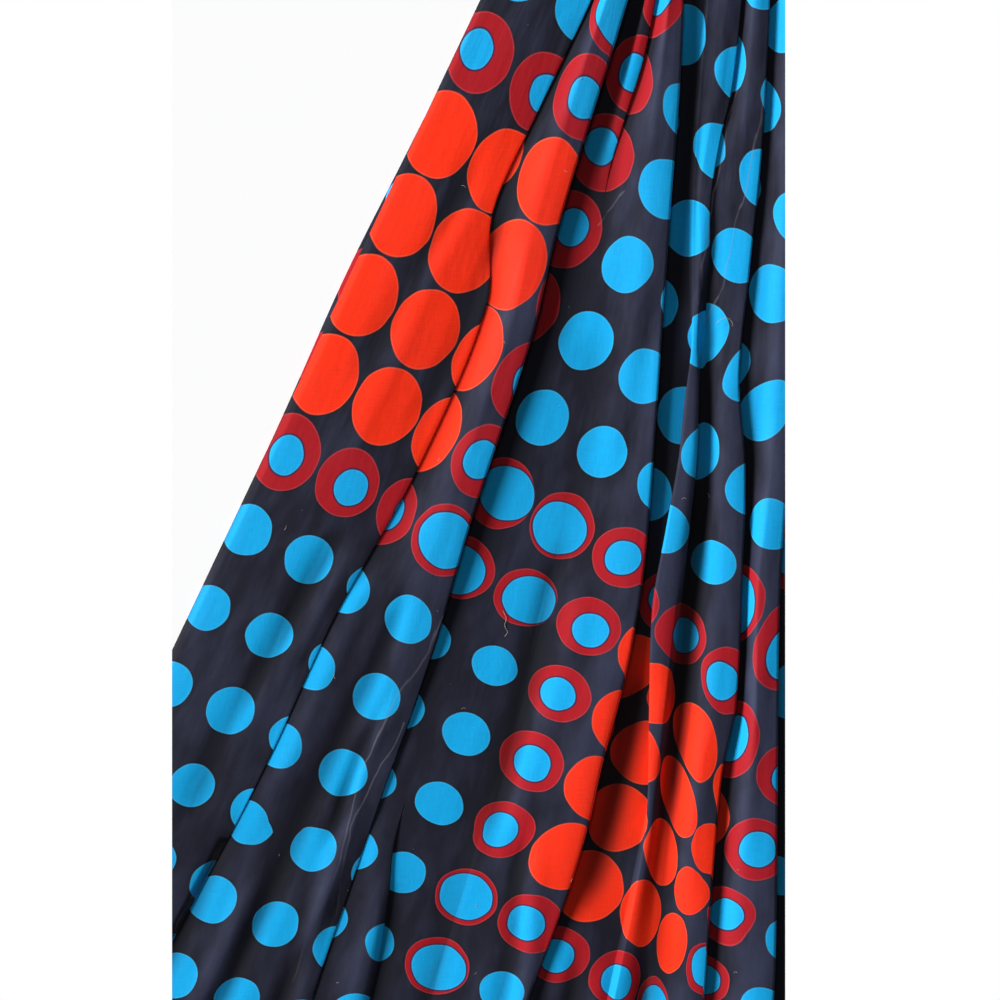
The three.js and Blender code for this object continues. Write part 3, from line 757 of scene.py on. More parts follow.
def spotted_print(tree, uv, colours):
    """The print: blocks of ovals with a border of rings, on a ground of round spots. Returns the
    colour, and where there is a spot."""
    sizes, rule = PrintSizes, PrintRule
    across, down, _ = tree.parts(uv)
    wobble = tree.noise(uv, sizes.wobble_scale, 1.0, noise_dimensions="2D")
    shift_across, shift_down, _ = tree.parts(wobble.output(1))
    across = across / MM - PRINT_START[0] + (shift_across - 0.5) * sizes.wobble
    down = down / MM - PRINT_START[1] + (shift_down - 0.5) * sizes.wobble

    # The nearest place of the lattice, and where the point is from it.
    area = STEP_ACROSS[0] * STEP_DOWN[1] - STEP_ACROSS[1] * STEP_DOWN[0]
    place_u = across * (STEP_DOWN[1] / area) - down * (STEP_DOWN[0] / area)
    place_v = down * (STEP_ACROSS[0] / area) - across * (STEP_ACROSS[1] / area)
    cell_u = place_u.math("ROUND")
    cell_v = place_v.math("ROUND")
    local_u = (place_u - cell_u) * math.hypot(*STEP_ACROSS)
    local_v = (place_v - cell_v) * math.hypot(*STEP_DOWN)

    # Which block it is in, and the motif there: an oval, a ring, or neither, which is a plain spot.
    block = ((cell_u - rule.block_start) / rule.block_step).math("FLOOR")
    u = cell_u - block * rule.block_step
    is_short = block.math("GREATER_THAN", rule.short_from - 0.5)
    repeat = rule.repeat - is_short * (rule.repeat - rule.short_repeat)
    v = (cell_v - block * rule.block_drop).math("FLOORED_MODULO", repeat)
    above = repeat - v
    wide_block = within(block, rule.wide, rule.wide)
    oval = either(within(u, 0, 2), wide_block * within(u, 3, 3)) * within(v, 0, 3)
    border = either(within(u, -1, 3), wide_block * within(u, 4, 4))
    around = border * either(within(v, 0, 4), within(above, 1, 1))
    extra = either(within(u, 3, 3) * within(above, 2, 3), within(u, -1, -1) * within(v, 5, 5))
    link = either(
        within(u, 4, 4) * within(v, 3, 4),
        within(u, -2, -2) * either(within(above, 1, 1), within(v, 0, 0)),
        within(u, 3, 3) * within(v, 4, 4),
        within(u, 2, 2) * within(above, 2, 2),
        within(u, -1, -1) * within(v, 4, 5),
    )
    ring = either(around, extra, link) * (1 - oval)

    cell = tree.node("ShaderNodeCombineXYZ", None, {0: cell_u, 1: cell_v, 2: 0.0})
    random = tree.node("ShaderNodeTexWhiteNoise", {"noise_dimensions": "3D"}, {"Vector": cell}, output=1)
    chance, chance_2, chance_3 = tree.parts(random)
    low_rows = clamp01((down - sizes.low_from) / sizes.low_over)

    def distance(shape_u, shape_v, wide, tall):
        """Millimetres from an ellipse's edge, below zero inside it."""
        ratio = ((shape_u / wide).math("POWER", 2.0) + (shape_v / tall).math("POWER", 2.0)).math("SQRT")
        return (ratio - 1) * wide

    size = 1 + (chance - 0.5) * sizes.spread
    oval_tall = size * sizes.oval[1] - low_rows * sizes.oval_low
    oval_edge = distance(local_u, local_v, size * sizes.oval[0], oval_tall)
    ring_wide = size * sizes.ring[0] - low_rows * sizes.ring_low[0]
    ring_tall = size * sizes.ring[1] - low_rows * sizes.ring_low[1]
    ring_edge = distance(local_u, local_v, ring_wide, ring_tall)
    centre_u = local_u - (chance_2 - 0.5) * 2 * sizes.centre_shift
    centre_v = local_v - (chance_3 - 0.5) * 2 * sizes.centre_shift
    small_wide = size * sizes.small_centre[0] - low_rows * sizes.small_centre_low
    small = distance(centre_u, centre_v, small_wide, size * sizes.small_centre[1])
    large_size = size * sizes.large_centre
    large = distance(centre_u, centre_v, large_size, large_size)
    spot_wide = chance_2 * sizes.spot_more + sizes.spot - low_rows * sizes.spot_low
    spot_tall = spot_wide * (sizes.spot_tall - low_rows * sizes.spot_tall_low)
    plain = distance(local_u, local_v, spot_wide, spot_tall)

    centre_edge = large * link + small * (1 - link)
    spot_edge = plain * (1 - ring) + centre_edge * ring
    outer = oval_edge * oval + ring_edge * ring + plain * (1 - oval) * (1 - ring)
    has_oval = inside(oval_edge, sizes.soft) * oval
    has_ring = inside(ring_edge, sizes.soft) * ring
    has_spot = inside(spot_edge, sizes.soft) * (1 - oval)

    def rim(edge, strength):
        """A fine line just inside an edge."""
        return inside(edge, sizes.soft) * inside(-edge - sizes.rim, sizes.rim) * strength

    outline = inside(outer - sizes.outline, sizes.outline_soft) * sizes.outline_strength
    colour = tree.mix(outline, colours["ground"], colours["outline"])
    colour = tree.mix(has_ring, colour, colours["ring"])
    colour = tree.mix(rim(ring_edge, 0.3) * ring, colour, colours["ring_rim"])
    colour = tree.mix(inside(spot_edge - sizes.centre_line, 1.0) * ring, colour, colours["centre_line"])
    colour = tree.mix(has_oval, colour, colours["oval"])
    colour = tree.mix(rim(oval_edge, 0.34) * oval, colour, colours["oval_rim"])
    colour = tree.mix(has_spot, colour, colours["spot"])
    colour = tree.mix(rim(spot_edge, 0.3) * (1 - oval), colour, colours["spot_rim"])
    return colour, either(has_oval, has_ring, has_spot)


# Pale lines along sharp creases, partly worn cloth and partly a painted crease highlight, as distances
# down and from the middle. Millimetres.
WORN_AND_HIGHLIGHT_LINES = (
    ((434, -228), (463, -240), (495, -263), (538, -285), (599, -298), (646, -319), (678, -331)),
    ((509, -257), (538, -273), (577, -291), (635, -302)),
    ((97, -42), (164, -58), (189, -60), (237, -66)),
    ((101, -25), (181, -42), (226, -51), (247, -62)),
    ((163, -114), (185, -131)),
)
WORN_AND_HIGHLIGHT_WIDTH = 0.3


def worn_and_highlight_lines(x, down):
    """1 along the pale lines of wear and painted crease highlight."""
    nearest = None
    for line in WORN_AND_HIGHLIGHT_LINES:
        for start, end in zip(line, line[1:]):
            step_x, step_d = end[1] - start[1], end[0] - start[0]
            size = step_x**2 + step_d**2
            from_x, from_d = x - start[1], down - start[0]
            along = clamp01((from_x * step_x + from_d * step_d) / size)
            off_x = from_x - along * step_x
            off_d = from_d - along * step_d
            gap = (off_x * off_x + off_d * off_d).math("SQRT")
            nearest = gap if nearest is None else nearest.math("MINIMUM", gap)
    return inside(nearest - WORN_AND_HIGHLIGHT_WIDTH, 1.0)


def linear(red, green, blue):
    """A display colour from 0 to 255 as linear light."""

    def one(value):
        value /= 255
        return value / 12.92 if value <= 0.04045 else ((value + 0.055) / 1.055) ** 2.4

    return (one(red), one(green), one(blue))


def opaque(colour):
    """A colour with full alpha."""
    return (*colour, 1.0)


# Noise on the cloth's face: its scale across and down for each metre, its detail and its shift.
WARP = (1500, 90, 1.0, 3.1)
WEFT = (90, 1500, 1.0, 7.7)
CLOUD = (14, 9, 3.0, 1.3)
STREAK = (52, 9, 3.0, 5.9)
FINE_STREAK = (190, 34, 2.0, 2.4)
MOTTLE = (62, 30, 4.0, 4.4)
SPECKS = (900, 900, 2.0, 9.2)

INKS = ("ground", "outline", "spot", "spot_rim", "ring", "ring_rim", "centre_line", "oval", "oval_rim")


def printed_cotton(name, colours, lines):
    """Stiff printed cotton with a dry, dusty face. Its print and weave follow the cut map. Its colour also
    carries painted highlight on ridges and painted shade in folds, from the wear-and-shade attribute, and,
    where asked, pale lines along sharp creases that are partly wear and partly painted highlight.
    """
    material, tree = new_material(name)
    uv = tree.node("ShaderNodeUVMap", {"uv_map": "cut"})
    wear_and_shade = tree.node("ShaderNodeAttribute", {"attribute_name": "wear_and_shade"}, output=2)
    fan = tree.node("ShaderNodeUVMap", {"uv_map": "fan"})
    colour, spots = spotted_print(tree, uv, {ink: opaque(getattr(colours, ink)) for ink in INKS})

    def stretched(place, scale_across, scale_down, detail, shift):
        """Noise on a map, stretched along one of its ways."""
        placed = tree.placed(place, (scale_across, scale_down, 1), shift)
        return tree.noise(placed, 1.0, detail, noise_dimensions="2D")

    warp = stretched(uv, *WARP)
    weft = stretched(uv, *WEFT)
    cloud = stretched(uv, *CLOUD)
    streak = stretched(fan, *STREAK)
    fine_streak = stretched(fan, *FINE_STREAK)
    mottle = stretched(fan, *MOTTLE)
    dust = clamp01((stretched(uv, *SPECKS) - 0.62) * 5)
    threads = (warp + weft) * 0.5

    # Pale bloom at random from the noises, plus the wear-and-shade attribute, which lightens ridges and dims     folds: partly wear, partly painted highlight and painted shade.
    bloom_and_ridge_highlight = clamp01((cloud - 0.4) * 2) * 0.35 + clamp01((streak - 0.48) * 3) * 0.3
    bloom_and_ridge_highlight = clamp01(bloom_and_ridge_highlight + clamp01((fine_streak - 0.5) * 3) * 0.14 + (mottle - 0.5) * 0.9 + wear_and_shade * 0.7)
    dust_and_ridge_highlight = clamp01(bloom_and_ridge_highlight * 0.5 + dust * 0.2 * bloom_and_ridge_highlight)
    colour = tree.mix(dust_and_ridge_highlight * (1 - spots * 0.9), colour, opaque(colours.dust))
    # Painted shade: the colour is darkened in folds and valleys, where the light falls short.
    painted_fold_shade = clamp01(-wear_and_shade)
    colour = tree.multiply(colour, (0.8 + threads * 0.38) * (1 - painted_fold_shade * 0.8))
    # Pale lines along sharp creases: partly worn cloth, partly a painted crease highlight.
    if lines:
        x, y, _ = tree.parts(tree.node("ShaderNodeTexCoord", None, None, output=3))
        wandering = x / MM + (cloud - 0.5) * 16 + (fine_streak - 0.5) * 3
        worn_and_painted_light = worn_and_highlight_lines(wandering, SEAM_Y - y / MM) * clamp01((streak - 0.3) * 3) * 0.6
        colour = tree.mix(worn_and_painted_light, colour, opaque(colours.worn_and_painted_light))

    slanting = tree.placed(uv, (26, 11, 1), turn=0.35)
    crumple = tree.noise(slanting, 1.0, 3.0, noise_dimensions="2D", noise_type="RIDGED_MULTIFRACTAL")
    height = threads * 0.05 + crumple * 0.1 + streak * 0.2 + fine_streak * 0.05 + cloud * 0.5 + mottle * 0.4
    bump = tree.node("ShaderNodeBump", None, {"Strength": 0.8, "Distance": 0.0012, "Height": height})
    shader = tree.node("ShaderNodeBsdfPrincipled", None, {
        "Base Color": colour,
        "Roughness": clamp01(0.8 - bloom_and_ridge_highlight * 0.12 + (threads - 0.5) * 0.1),
        "Specular IOR Level": 0.22,
        "Sheen Weight": 0.06,
        "Sheen Roughness": 0.45,
        "Normal": bump,
    })
    tree.node("ShaderNodeOutputMaterial", None, {"Surface": shader})
    return material


def plain_cotton(name, colour, dust_colour):
    """The waistband's plain cotton, with a fine weave."""
    material, tree = new_material(name)
    place = tree.node("ShaderNodeTexCoord", None, None, output=3)
    warp = tree.noise(tree.placed(place, (1500, 120, 400)), 1.0, 1.0)
    weft = tree.noise(tree.placed(place, (120, 1500, 400)), 1.0, 1.0)
    threads = (warp + weft) * 0.5
    cloud = tree.noise(place, 22.0, 3.0)
    mixed = tree.mix(clamp01((cloud - 0.35) * 1.2) * 0.4, opaque(colour), opaque(dust_colour))
    bump = tree.node("ShaderNodeBump", None, {"Strength": 0.7, "Distance": 0.0004, "Height": threads})
    shader = tree.node("ShaderNodeBsdfPrincipled", None, {
        "Base Color": tree.multiply(mixed, 0.8 + threads * 0.4),
        "Roughness": clamp01(0.86 - cloud * 0.1),
        "Specular IOR Level": 0.22,
        "Sheen Weight": 0.06,
        "Normal": bump,
    })
    tree.node("ShaderNodeOutputMaterial", None, {"Surface": shader})
    return material


def sewing_thread(name, colour):
    """Dull twisted thread."""
    material, tree = new_material(name)
    place = tree.node("ShaderNodeTexCoord", None, None, output=3)
    twist = tree.noise(place, 2400.0, 1.0)
    shader = tree.node("ShaderNodeBsdfPrincipled", None, {
        "Base Color": tree.multiply(opaque(colour), 0.7 + twist * 0.6),
        "Roughness": 0.55 + twist * 0.1,
    })
    tree.node("ShaderNodeOutputMaterial", None, {"Surface": shader})
    return material


def finish_for(key, make):
    """The material under a name, made the first time that it is asked for."""
    return bpy.data.materials.get(key) or make()


def grid_normals(x, y, z):
    """The points of a grid and their normals."""
    points = np.stack([x, y, z], axis=-1)
    along = np.gradient(points, axis=0)
    across = np.gradient(points, axis=1)
    normal = np.cross(along, across)
    return points, normal / np.maximum(np.linalg.norm(normal, axis=-1, keepdims=True), 1e-9)


def path_object(name, lines):
    """Edges along each line of points, in millimetres."""
    mesh = bpy.data.meshes.new(name)
    points, edges = [], []
    for line in lines:
        first = len(points)
        points.extend((np.asarray(line) * MM).tolist())
        edges.extend((first + i, first + i + 1) for i in range(len(line) - 1))
    mesh.from_pydata(points, edges, [])
    return add_object(name, mesh)


def modifier_tree(name, geometry, amounts):
    """A geometry tree that takes a geometry and some amounts. Returns its group, the amounts' sockets by
    name, the tree, and its inputs."""
    group = bpy.data.node_groups.new(name, "GeometryNodeTree")
    group.interface.new_socket(name="Geometry", in_out="OUTPUT", socket_type="NodeSocketGeometry")
    group.interface.new_socket(name=geometry, in_out="INPUT", socket_type="NodeSocketGeometry")
    sockets = {}
    for amount, value in amounts.items():
        socket = group.interface.new_socket(name=amount, in_out="INPUT", socket_type="NodeSocketFloat")
        socket.default_value = value
        sockets[amount] = socket.identifier
    tree = Tree(group)
    given = tree.node("NodeGroupInput")
    return group, sockets, tree, [given.output(i) for i in range(len(amounts) + 1)]


def stitch_tree(material):
    """Geometry nodes that lay stitches along the edges they are given."""
    amounts = {"Spacing": 0.0034, "Stitch length": 0.0024, "Thread radius": 0.0003}
    group, sockets, tree, inputs = modifier_tree("stitch_row", "Path", amounts)
    path, spacing, length, radius = inputs
    curve = tree.node("GeometryNodeMeshToCurve", None, {"Mesh": path})
    points = tree.node("GeometryNodeResampleCurve", {"mode": "LENGTH"}, {"Curve": curve, "Length": spacing})
    ball = tree.node("GeometryNodeMeshUVSphere", None, {"Segments": 6, "Rings": 4, "Radius": 1.0})
    size = tree.node("ShaderNodeCombineXYZ", None, {0: length * 0.5, 1: radius, 2: radius})
    stitch = tree.node("GeometryNodeTransform", None, {"Geometry": ball, "Scale": size})
    tangent = tree.node("GeometryNodeInputTangent")
    turn = tree.node("FunctionNodeAlignRotationToVector", {"axis": "X"}, {"Vector": tangent})
    rows = tree.node(
        "GeometryNodeInstanceOnPoints", None, {"Points": points, "Instance": stitch, "Rotation": turn}
    )
    real = tree.node("GeometryNodeRealizeInstances", None, {"Geometry": rows})
    smooth = tree.node("GeometryNodeSetShadeSmooth", None, {0: real})
    done = tree.node("GeometryNodeSetMaterial", None, {"Geometry": smooth, "Material": material})
    tree.node("NodeGroupOutput", None, {0: done})
    return group, sockets


def lint_tree(material):
    """Geometry nodes that scatter short bent fibres over the cloth they are given."""
    amounts = {"Density": 150.0, "Fibre length": 0.0022, "Fibre radius": 0.00009}
    group, sockets, tree, inputs = modifier_tree("scattered_lint", "Cloth", amounts)
    cloth, density, length, radius = inputs
    points = tree.node(
        "GeometryNodeDistributePointsOnFaces", None, {"Mesh": cloth, "Density": density, "Seed": 11}
    )
    middle = tree.node("ShaderNodeCombineXYZ", None, {0: 0.0, 1: length * 0.45, 2: 0.0})
    bend = tree.node("GeometryNodeCurveQuadraticBezier", None, {
        "Resolution": 5,
        "Start": tree.node("ShaderNodeCombineXYZ", None, {0: length * -0.5}),
        "Middle": middle,
        "End": tree.node("ShaderNodeCombineXYZ", None, {0: length * 0.5}),
    })
    ring = tree.node("GeometryNodeCurvePrimitiveCircle", None, {"Resolution": 4, "Radius": radius})
    fibre = tree.node("GeometryNodeCurveToMesh", None, {
        "Curve": bend, "Profile Curve": ring, "Fill Caps": True,
    })

    def random(low, high, seed):
        settings = {"data_type": "FLOAT"}
        return tree.node("FunctionNodeRandomValue", settings, {2: low, 3: high, "Seed": seed}, output=1)

    spin = tree.node("ShaderNodeCombineXYZ", None, {2: random(0.0, 6.28, 3)})
    turned = tree.node("FunctionNodeRotateRotation", {"rotation_space": "LOCAL"}, {
        "Rotation": points.output("Rotation"), "Rotate By": spin,
    })
    scattered = tree.node("GeometryNodeInstanceOnPoints", None, {
        "Points": points, "Instance": fibre, "Rotation": turned, "Scale": random(0.35, 1.4, 5),
    })
    lift = tree.multiply(points.output("Normal"), 0.00045)
    lifted = tree.node("GeometryNodeTranslateInstances", None, {
        "Instances": scattered, "Translation": lift, "Local Space": False,
    })
    real = tree.node("GeometryNodeRealizeInstances", None, {"Geometry": lifted})
    done = tree.node("GeometryNodeSetMaterial", None, {"Geometry": real, "Material": material})
    tree.node("NodeGroupOutput", None, {0: done})
    return group, sockets


def ruche_tree():
    """Geometry nodes that ruche the waistband along its normals."""
    amounts = {"Ruche depth": 0.0012, "Ruche pitch": 0.0085}
    group, sockets, tree, inputs = modifier_tree("band_ruches", "Band", amounts)
    band, depth, pitch = inputs
    place = tree.node("GeometryNodeInputPosition")
    across, up, _ = tree.parts(place)
    wander = tree.noise(place, 34.0, 1.0)
    turn = across / pitch * (2 * math.pi) + wander * 9
    wave = turn.math("COSINE") * (0.55 + 0.45 * (across * 91.0).math("SINE"))
    share = clamp01((up - SEAM_Y * MM) / (BAND_HEIGHT * MM))
    rows = (share * (2 * math.pi * ELASTIC_ROWS)).math("COSINE") * -0.5 + 0.5
    lift = depth * (wave * (0.35 + rows * 0.65) + rows * 0.5 - 0.25)
    offset = tree.multiply(tree.node("GeometryNodeInputNormal"), lift)
    done = tree.node("GeometryNodeSetPosition", None, {"Geometry": band, "Offset": offset})
    tree.node("NodeGroupOutput", None, {0: done})
    return group, sockets


def apply_tree(made, group, sockets, values):
    """Runs a geometry tree on an object, keeps its result as a plain mesh and removes the modifier."""
    modifier = made.modifiers.new(group.name, "NODES")
    modifier.node_group = group
    for name, value in values.items():
        modifier[sockets[name]] = value
    evaluated = made.evaluated_get(bpy.context.evaluated_depsgraph_get())
    mesh = bpy.data.meshes.new_from_object(evaluated)
    made.modifiers.remove(modifier)
    old = made.data
    made.data = mesh
    bpy.data.meshes.remove(old)
    return made


def thicken(made, thickness):
    """A thin wall with the cloth's middle in its middle."""
    wall = made.modifiers.new("wall", "SOLIDIFY")
    wall.thickness = thickness
    wall.offset = 0


def tube(points, radius, sides=6):
    """Vertices and faces of a closed tube along points, in millimetres."""
    points = np.asarray(points, float)
    along = np.gradient(points, axis=0)
    along /= np.linalg.norm(along, axis=1, keepdims=True)
    side = np.cross(along, (0, 0, 1.0))
    side /= np.maximum(np.linalg.norm(side, axis=1, keepdims=True), 1e-6)
    up = np.cross(side, along)
    turns = np.linspace(0, 2 * math.pi, sides, endpoint=False)
    rings = points[:, None] + radius * (
        np.cos(turns)[None, :, None] * side[:, None] + np.sin(turns)[None, :, None] * up[:, None]
    )
    count = len(points)
    faces = [
        (r * sides + s, r * sides + (s + 1) % sides, (r + 1) * sides + (s + 1) % sides, (r + 1) * sides + s)
        for r in range(count - 1)
        for s in range(sides)
    ]
    faces.append(tuple(range(sides))[::-1])
    faces.append(tuple((count - 1) * sides + s for s in range(sides)))
    return rings.reshape(-1, 3), faces


def top_height(x, z, down, at_x, at_down):
    """The height of the topmost cloth at one place, in millimetres."""
    row = int(np.argmin(np.abs(down[:, 0] - at_down)))
    near = np.abs(x[row] - at_x) < LOOSE_NEAR
    return float(z[row][near].max())


def loose_ends(name, x, z, down, material):
    """A few short ends of thread that lie on the cloth."""
    mesh = bpy.data.meshes.new(name)
    points, faces = [], []
    for line in LOOSE_ENDS:
        height = max(top_height(x, z, down, at_x, at_down) for at_down, at_x in line) + LOOSE_LIFT
        shares = np.linspace(0, 1, len(line))
        fine = np.linspace(0, 1, 14)
        lies = [(step, *place) for step, place in zip(shares, line)]
        place = np.stack([
            table_curve(lies, 2, fine), SEAM_Y - table_curve(lies, 1, fine),
            height + LOOSE_WAVE * np.sin(fine * LOOSE_WAVE_TURNS),
        ], axis=1)
        rings, walls = tube(place, LOOSE_RADIUS)
        faces.extend(tuple(len(points) + corner for corner in wall) for wall in walls)
        points.extend((rings * MM).tolist())
    mesh.from_pydata(points, [], faces)
    mesh.materials.append(material)
    mesh.update()
    return add_object(name, mesh)


def colour_setting(name, description, display):
    """A colour that a user would change, its default given as a display colour from 0 to 255."""
    return FloatVectorProperty(
        name=name, description=description, subtype="COLOR", default=linear(*display), min=0, max=1
    )


def length_setting(name, description, default, low, high):
    """A length that a user would change, in metres."""
    return FloatProperty(
        name=name, description=description, default=default, min=low, max=high,
        subtype="DISTANCE", unit="LENGTH",
    )


class SkirtColours(PropertyGroup):
    """Colours of the cloth and its print."""

    ground: colour_setting("Ground", "Colour of the cloth", (19, 20, 36))
    outline: colour_setting("Outline", "Dark line round each spot", (13, 12, 22))
    # Dust is pale bloom at random, and is also mixed in on ridges as painted highlight.
    dust: colour_setting("Dust", "Pale bloom on the worn face", (68, 74, 104))
    # Worn: pale lines along sharp creases, partly wear and partly painted highlight.
    worn_and_painted_light: colour_setting("Worn", "Sharp creases that have worn pale", (128, 122, 132))
    spot: colour_setting("Spot", "Round spots", (0, 168, 232))
    spot_rim: colour_setting("Spot rim", "Fine rim of a round spot", (96, 214, 255))
    ring: colour_setting("Ring", "Rings", (169, 9, 24))
    ring_rim: colour_setting("Ring rim", "Fine rim of a ring", (236, 96, 108))
    centre_line: colour_setting("Centre line", "Dark line between a ring and its centre", (44, 16, 62))
    oval: colour_setting("Oval", "Large ovals", (255, 46, 2))
    oval_rim: colour_setting("Oval rim", "Fine rim of an oval", (255, 128, 92))
    thread: colour_setting("Thread", "Sewing thread", (40, 38, 50))
    lint: colour_setting("Lint", "Loose thread ends", (176, 168, 160))


class SkirtSizes(PropertyGroup):
    """Sizes that a user would change."""

    wall: length_setting("Cloth", "Thickness of the cloth", 0.0006, 0.0004, 0.0014)
    fine: length_setting("Fine mesh", "Distance between points on the left half", 0.0056, 0.003, 0.03)
    coarse: length_setting("Coarse mesh", "Distance between points on the right half", 0.0095, 0.003, 0.03)
    rows: IntProperty(name="Rows", description="Rows from waist to hem", default=150, min=30, max=400)
    stitch: length_setting("Stitch", "Distance between stitches", 0.0034, 0.001, 0.01)
    lint: FloatProperty(
        name="Lint", description="Fibres for each square metre of cloth", default=150.0, min=0
    )
    ruche: length_setting("Ruche", "Distance between the waistband's ruches", 0.0085, 0.003, 0.03)


class StageSettings(PropertyGroup):
    """The floor, lights and camera."""

    key: FloatProperty(name="Key light", description="Strength of the key light", default=4.85, min=0)
    fill: FloatProperty(name="Fill light", description="Strength of the even light", default=0.03, min=0)
    lens: FloatProperty(
        name="Lens", description="Focal length", default=85.0, min=20, max=300, subtype="DISTANCE_CAMERA"
    )
    view_width: FloatProperty(
        name="View", description="Width of the surface that the picture takes in", default=0.65, min=0.1,
        subtype="DISTANCE", unit="LENGTH",
    )
    margins: BoolProperty(
        name="Margins", description="White margins at both sides of the picture", default=True
    )


class SkirtOperator:
    """What the skirt's operators share."""

    bl_options = {"REGISTER", "UNDO"}

    def colours(self):
        return bpy.context.scene.skirt_colours

    def sizes(self):
        return bpy.context.scene.skirt_sizes

    def thread(self):
        return finish_for("sewing_thread", lambda: sewing_thread("sewing_thread", self.colours().thread))


class SKIRT_OT_front_panel(SkirtOperator, Operator):
    """Make the front panel in its folds, with its stitched hem"""

    bl_idname = "skirt.front_panel"
    bl_label = "Front panel"

    def execute(self, context):
        sizes = self.sizes()
        x, z, down, cut, relief, past = front_grid(sizes.fine / MM, sizes.coarse / MM, sizes.rows)
        across, along = drawn_together(x, down)
        held = 1 - ease((x - SLIP_ENDS[0]) / (SLIP_ENDS[1] - SLIP_ENDS[0]))
        printed = down + print_drift(cut, down) + (past_folds(SLIPS, down, past) + along) * held
        cut = cut + past_folds(GATHERED, down, past) + across
        hem = down - (hem_down(x / half_width(SKIRT_LENGTH)) - HEM_DEPTH)
        seam = half_width(down) - np.abs(x) - SEAM_RIDGE
        z = z - HEM_DENT[0] * np.exp(-((hem / HEM_DENT[1]) ** 2)) + HEM_PROUD[0] * ease(hem / HEM_PROUD[1])
        z = z + SEAM_PROUD[0] * np.exp(-((seam / SEAM_PROUD[1]) ** 2))
        # Wear and painted shade: lightens the colour on ridges, darkens it in folds.
        wear_and_shade = ridge_wear_and_fold_shade(x, z, relief)
        material = printed_cotton("front_printed_cotton", self.colours(), True)
        front = grid_object("front_cloth", x, SEAM_Y - down, z, (cut, printed), wear_and_shade, material)
        thicken(front, sizes.wall)
        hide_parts("front_panel")
        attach(front, "root")

        points, normals = grid_normals(x, SEAM_Y - down, z)
        row = int(np.argmin(np.abs(hem[:, hem.shape[1] // 2])))
        line = points[row] + normals[row] * (sizes.wall / MM / 2 + THREAD_LIFT)
        path = path_object("front_hem_stitches", [line[3:-3]])
        group, sockets = stitch_tree(self.thread())
        apply_tree(path, group, sockets, {"Spacing": sizes.stitch})
        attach(path, "root")

        lint_material = finish_for("lint", lambda: sewing_thread("lint", self.colours().lint))
        lint = add_object("front_lint", front.data.copy())
        group, sockets = lint_tree(lint_material)
        apply_tree(lint, group, sockets, {"Density": sizes.lint})
        ends = loose_ends("front_loose_ends", x, z, down, lint_material)
        for made in (lint, ends):
            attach(made, "root")
        return {"FINISHED"}


class SKIRT_OT_back_panel(SkirtOperator, Operator):
    """Make the back panel, flat on the surface"""

    bl_idname = "skirt.back_panel"
    bl_label = "Back panel"

    def execute(self, context):
        wall = self.sizes().wall / MM
        columns, rows = BACK_POINTS
        share = np.linspace(-1, 1, columns)[None, :] + np.zeros((rows, 1))
        steps = np.linspace(0, 1, rows)[:, None]
        down = SEAM_GAP + (hem_down(share) - SEAM_GAP) * steps
        peek = PEEK_REACH * np.exp(-(((down - PEEK_DOWN) / PEEK_SPREAD) ** 2))
        x = share * half_width(down) - peek * np.where(share < PEEK_FROM, 1, 0)
        ripple = (1 + np.cos(RIPPLE_TURNS * math.pi * share)) / 2 * (1 - share**8)
        z = wall / 2 + FLOOR_GAP + RIPPLE_HEIGHT * ripple * ease(1 - down / RIPPLE_FADE)
        material = printed_cotton("back_printed_cotton", self.colours(), False)
        cut = (x + BACK_PRINT_SHIFT[0], down + BACK_PRINT_SHIFT[1])
        back = grid_object("back_cloth", x, SEAM_Y - down, z, cut, x * 0, material)
        thicken(back, wall * MM)
        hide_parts("back_panel")
        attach(back, "root")
        return {"FINISHED"}


def band_grid(front):
    """Half of the waistband on a grid, in millimetres."""
    columns, rows = BAND_POINTS
    share = np.linspace(-1, 1, columns)[None, :] + np.zeros((rows, 1))
    up = np.linspace(1, 0, rows)[:, None] * BAND_HEIGHT + np.zeros((1, columns))
    x = share * WAIST_WIDTH / 2
    if not front:
        return x, SEAM_Y + up, np.full_like(x, BACK_BAND_MIDDLE)
    to_edge = np.clip((1 - np.abs(share)) * WAIST_WIDTH / 2 / BAND_ROUND, 0, 1)
    roll = BAND_ROLL * ease((up / BAND_HEIGHT - BAND_ROLL_FROM) / (1 - BAND_ROLL_FROM))
    middle = EDGE_MIDDLE + (BAND_MIDDLE - EDGE_MIDDLE) * np.sin(to_edge * math.pi / 2) - roll * to_edge
    return x, SEAM_Y + up, middle


class SKIRT_OT_waistband(SkirtOperator, Operator):
    """Make the ruched elastic waistband and its rows of stitches"""

    bl_idname = "skirt.waistband"
    bl_label = "Waistband"

    def execute(self, context):
        colours = self.colours()
        material = finish_for(
            "band_plain_cotton", lambda: plain_cotton("band_plain_cotton", colours.ground, colours.dust)
        )
        stitches, stitch_sockets = stitch_tree(self.thread())
        ruches, ruche_sockets = ruche_tree()
        for name, node, is_front, depth in (
            ("waistband_front_cloth", "waistband_front", True, 0.0013),
            ("waistband_back_cloth", "waistband_back", False, 0.0002),
        ):
            x, y, z = band_grid(is_front)
            band = grid_object(name, x, y, z, (x, y), x * 0, material)
            apply_tree(band, ruches, ruche_sockets, {
                "Ruche depth": depth, "Ruche pitch": self.sizes().ruche,
            })
            band.data.polygons.foreach_set("use_smooth", [True] * len(band.data.polygons))
            points = np.array([v.co for v in band.data.vertices]).reshape(*x.shape, 3) / MM
            thicken(band, self.sizes().wall)
            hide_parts(node)
            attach(band, "root")
            if is_front:
                lift = np.array([0, 0, self.sizes().wall / MM / 2 + THREAD_LIFT])
                lines = [points[row][2:-2] + lift for row in BAND_STITCH_ROWS]
                rows = path_object("waistband_stitches", lines)
                apply_tree(rows, stitches, stitch_sockets, {"Spacing": self.sizes().stitch})
                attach(rows, "root")
        return {"FINISHED"}


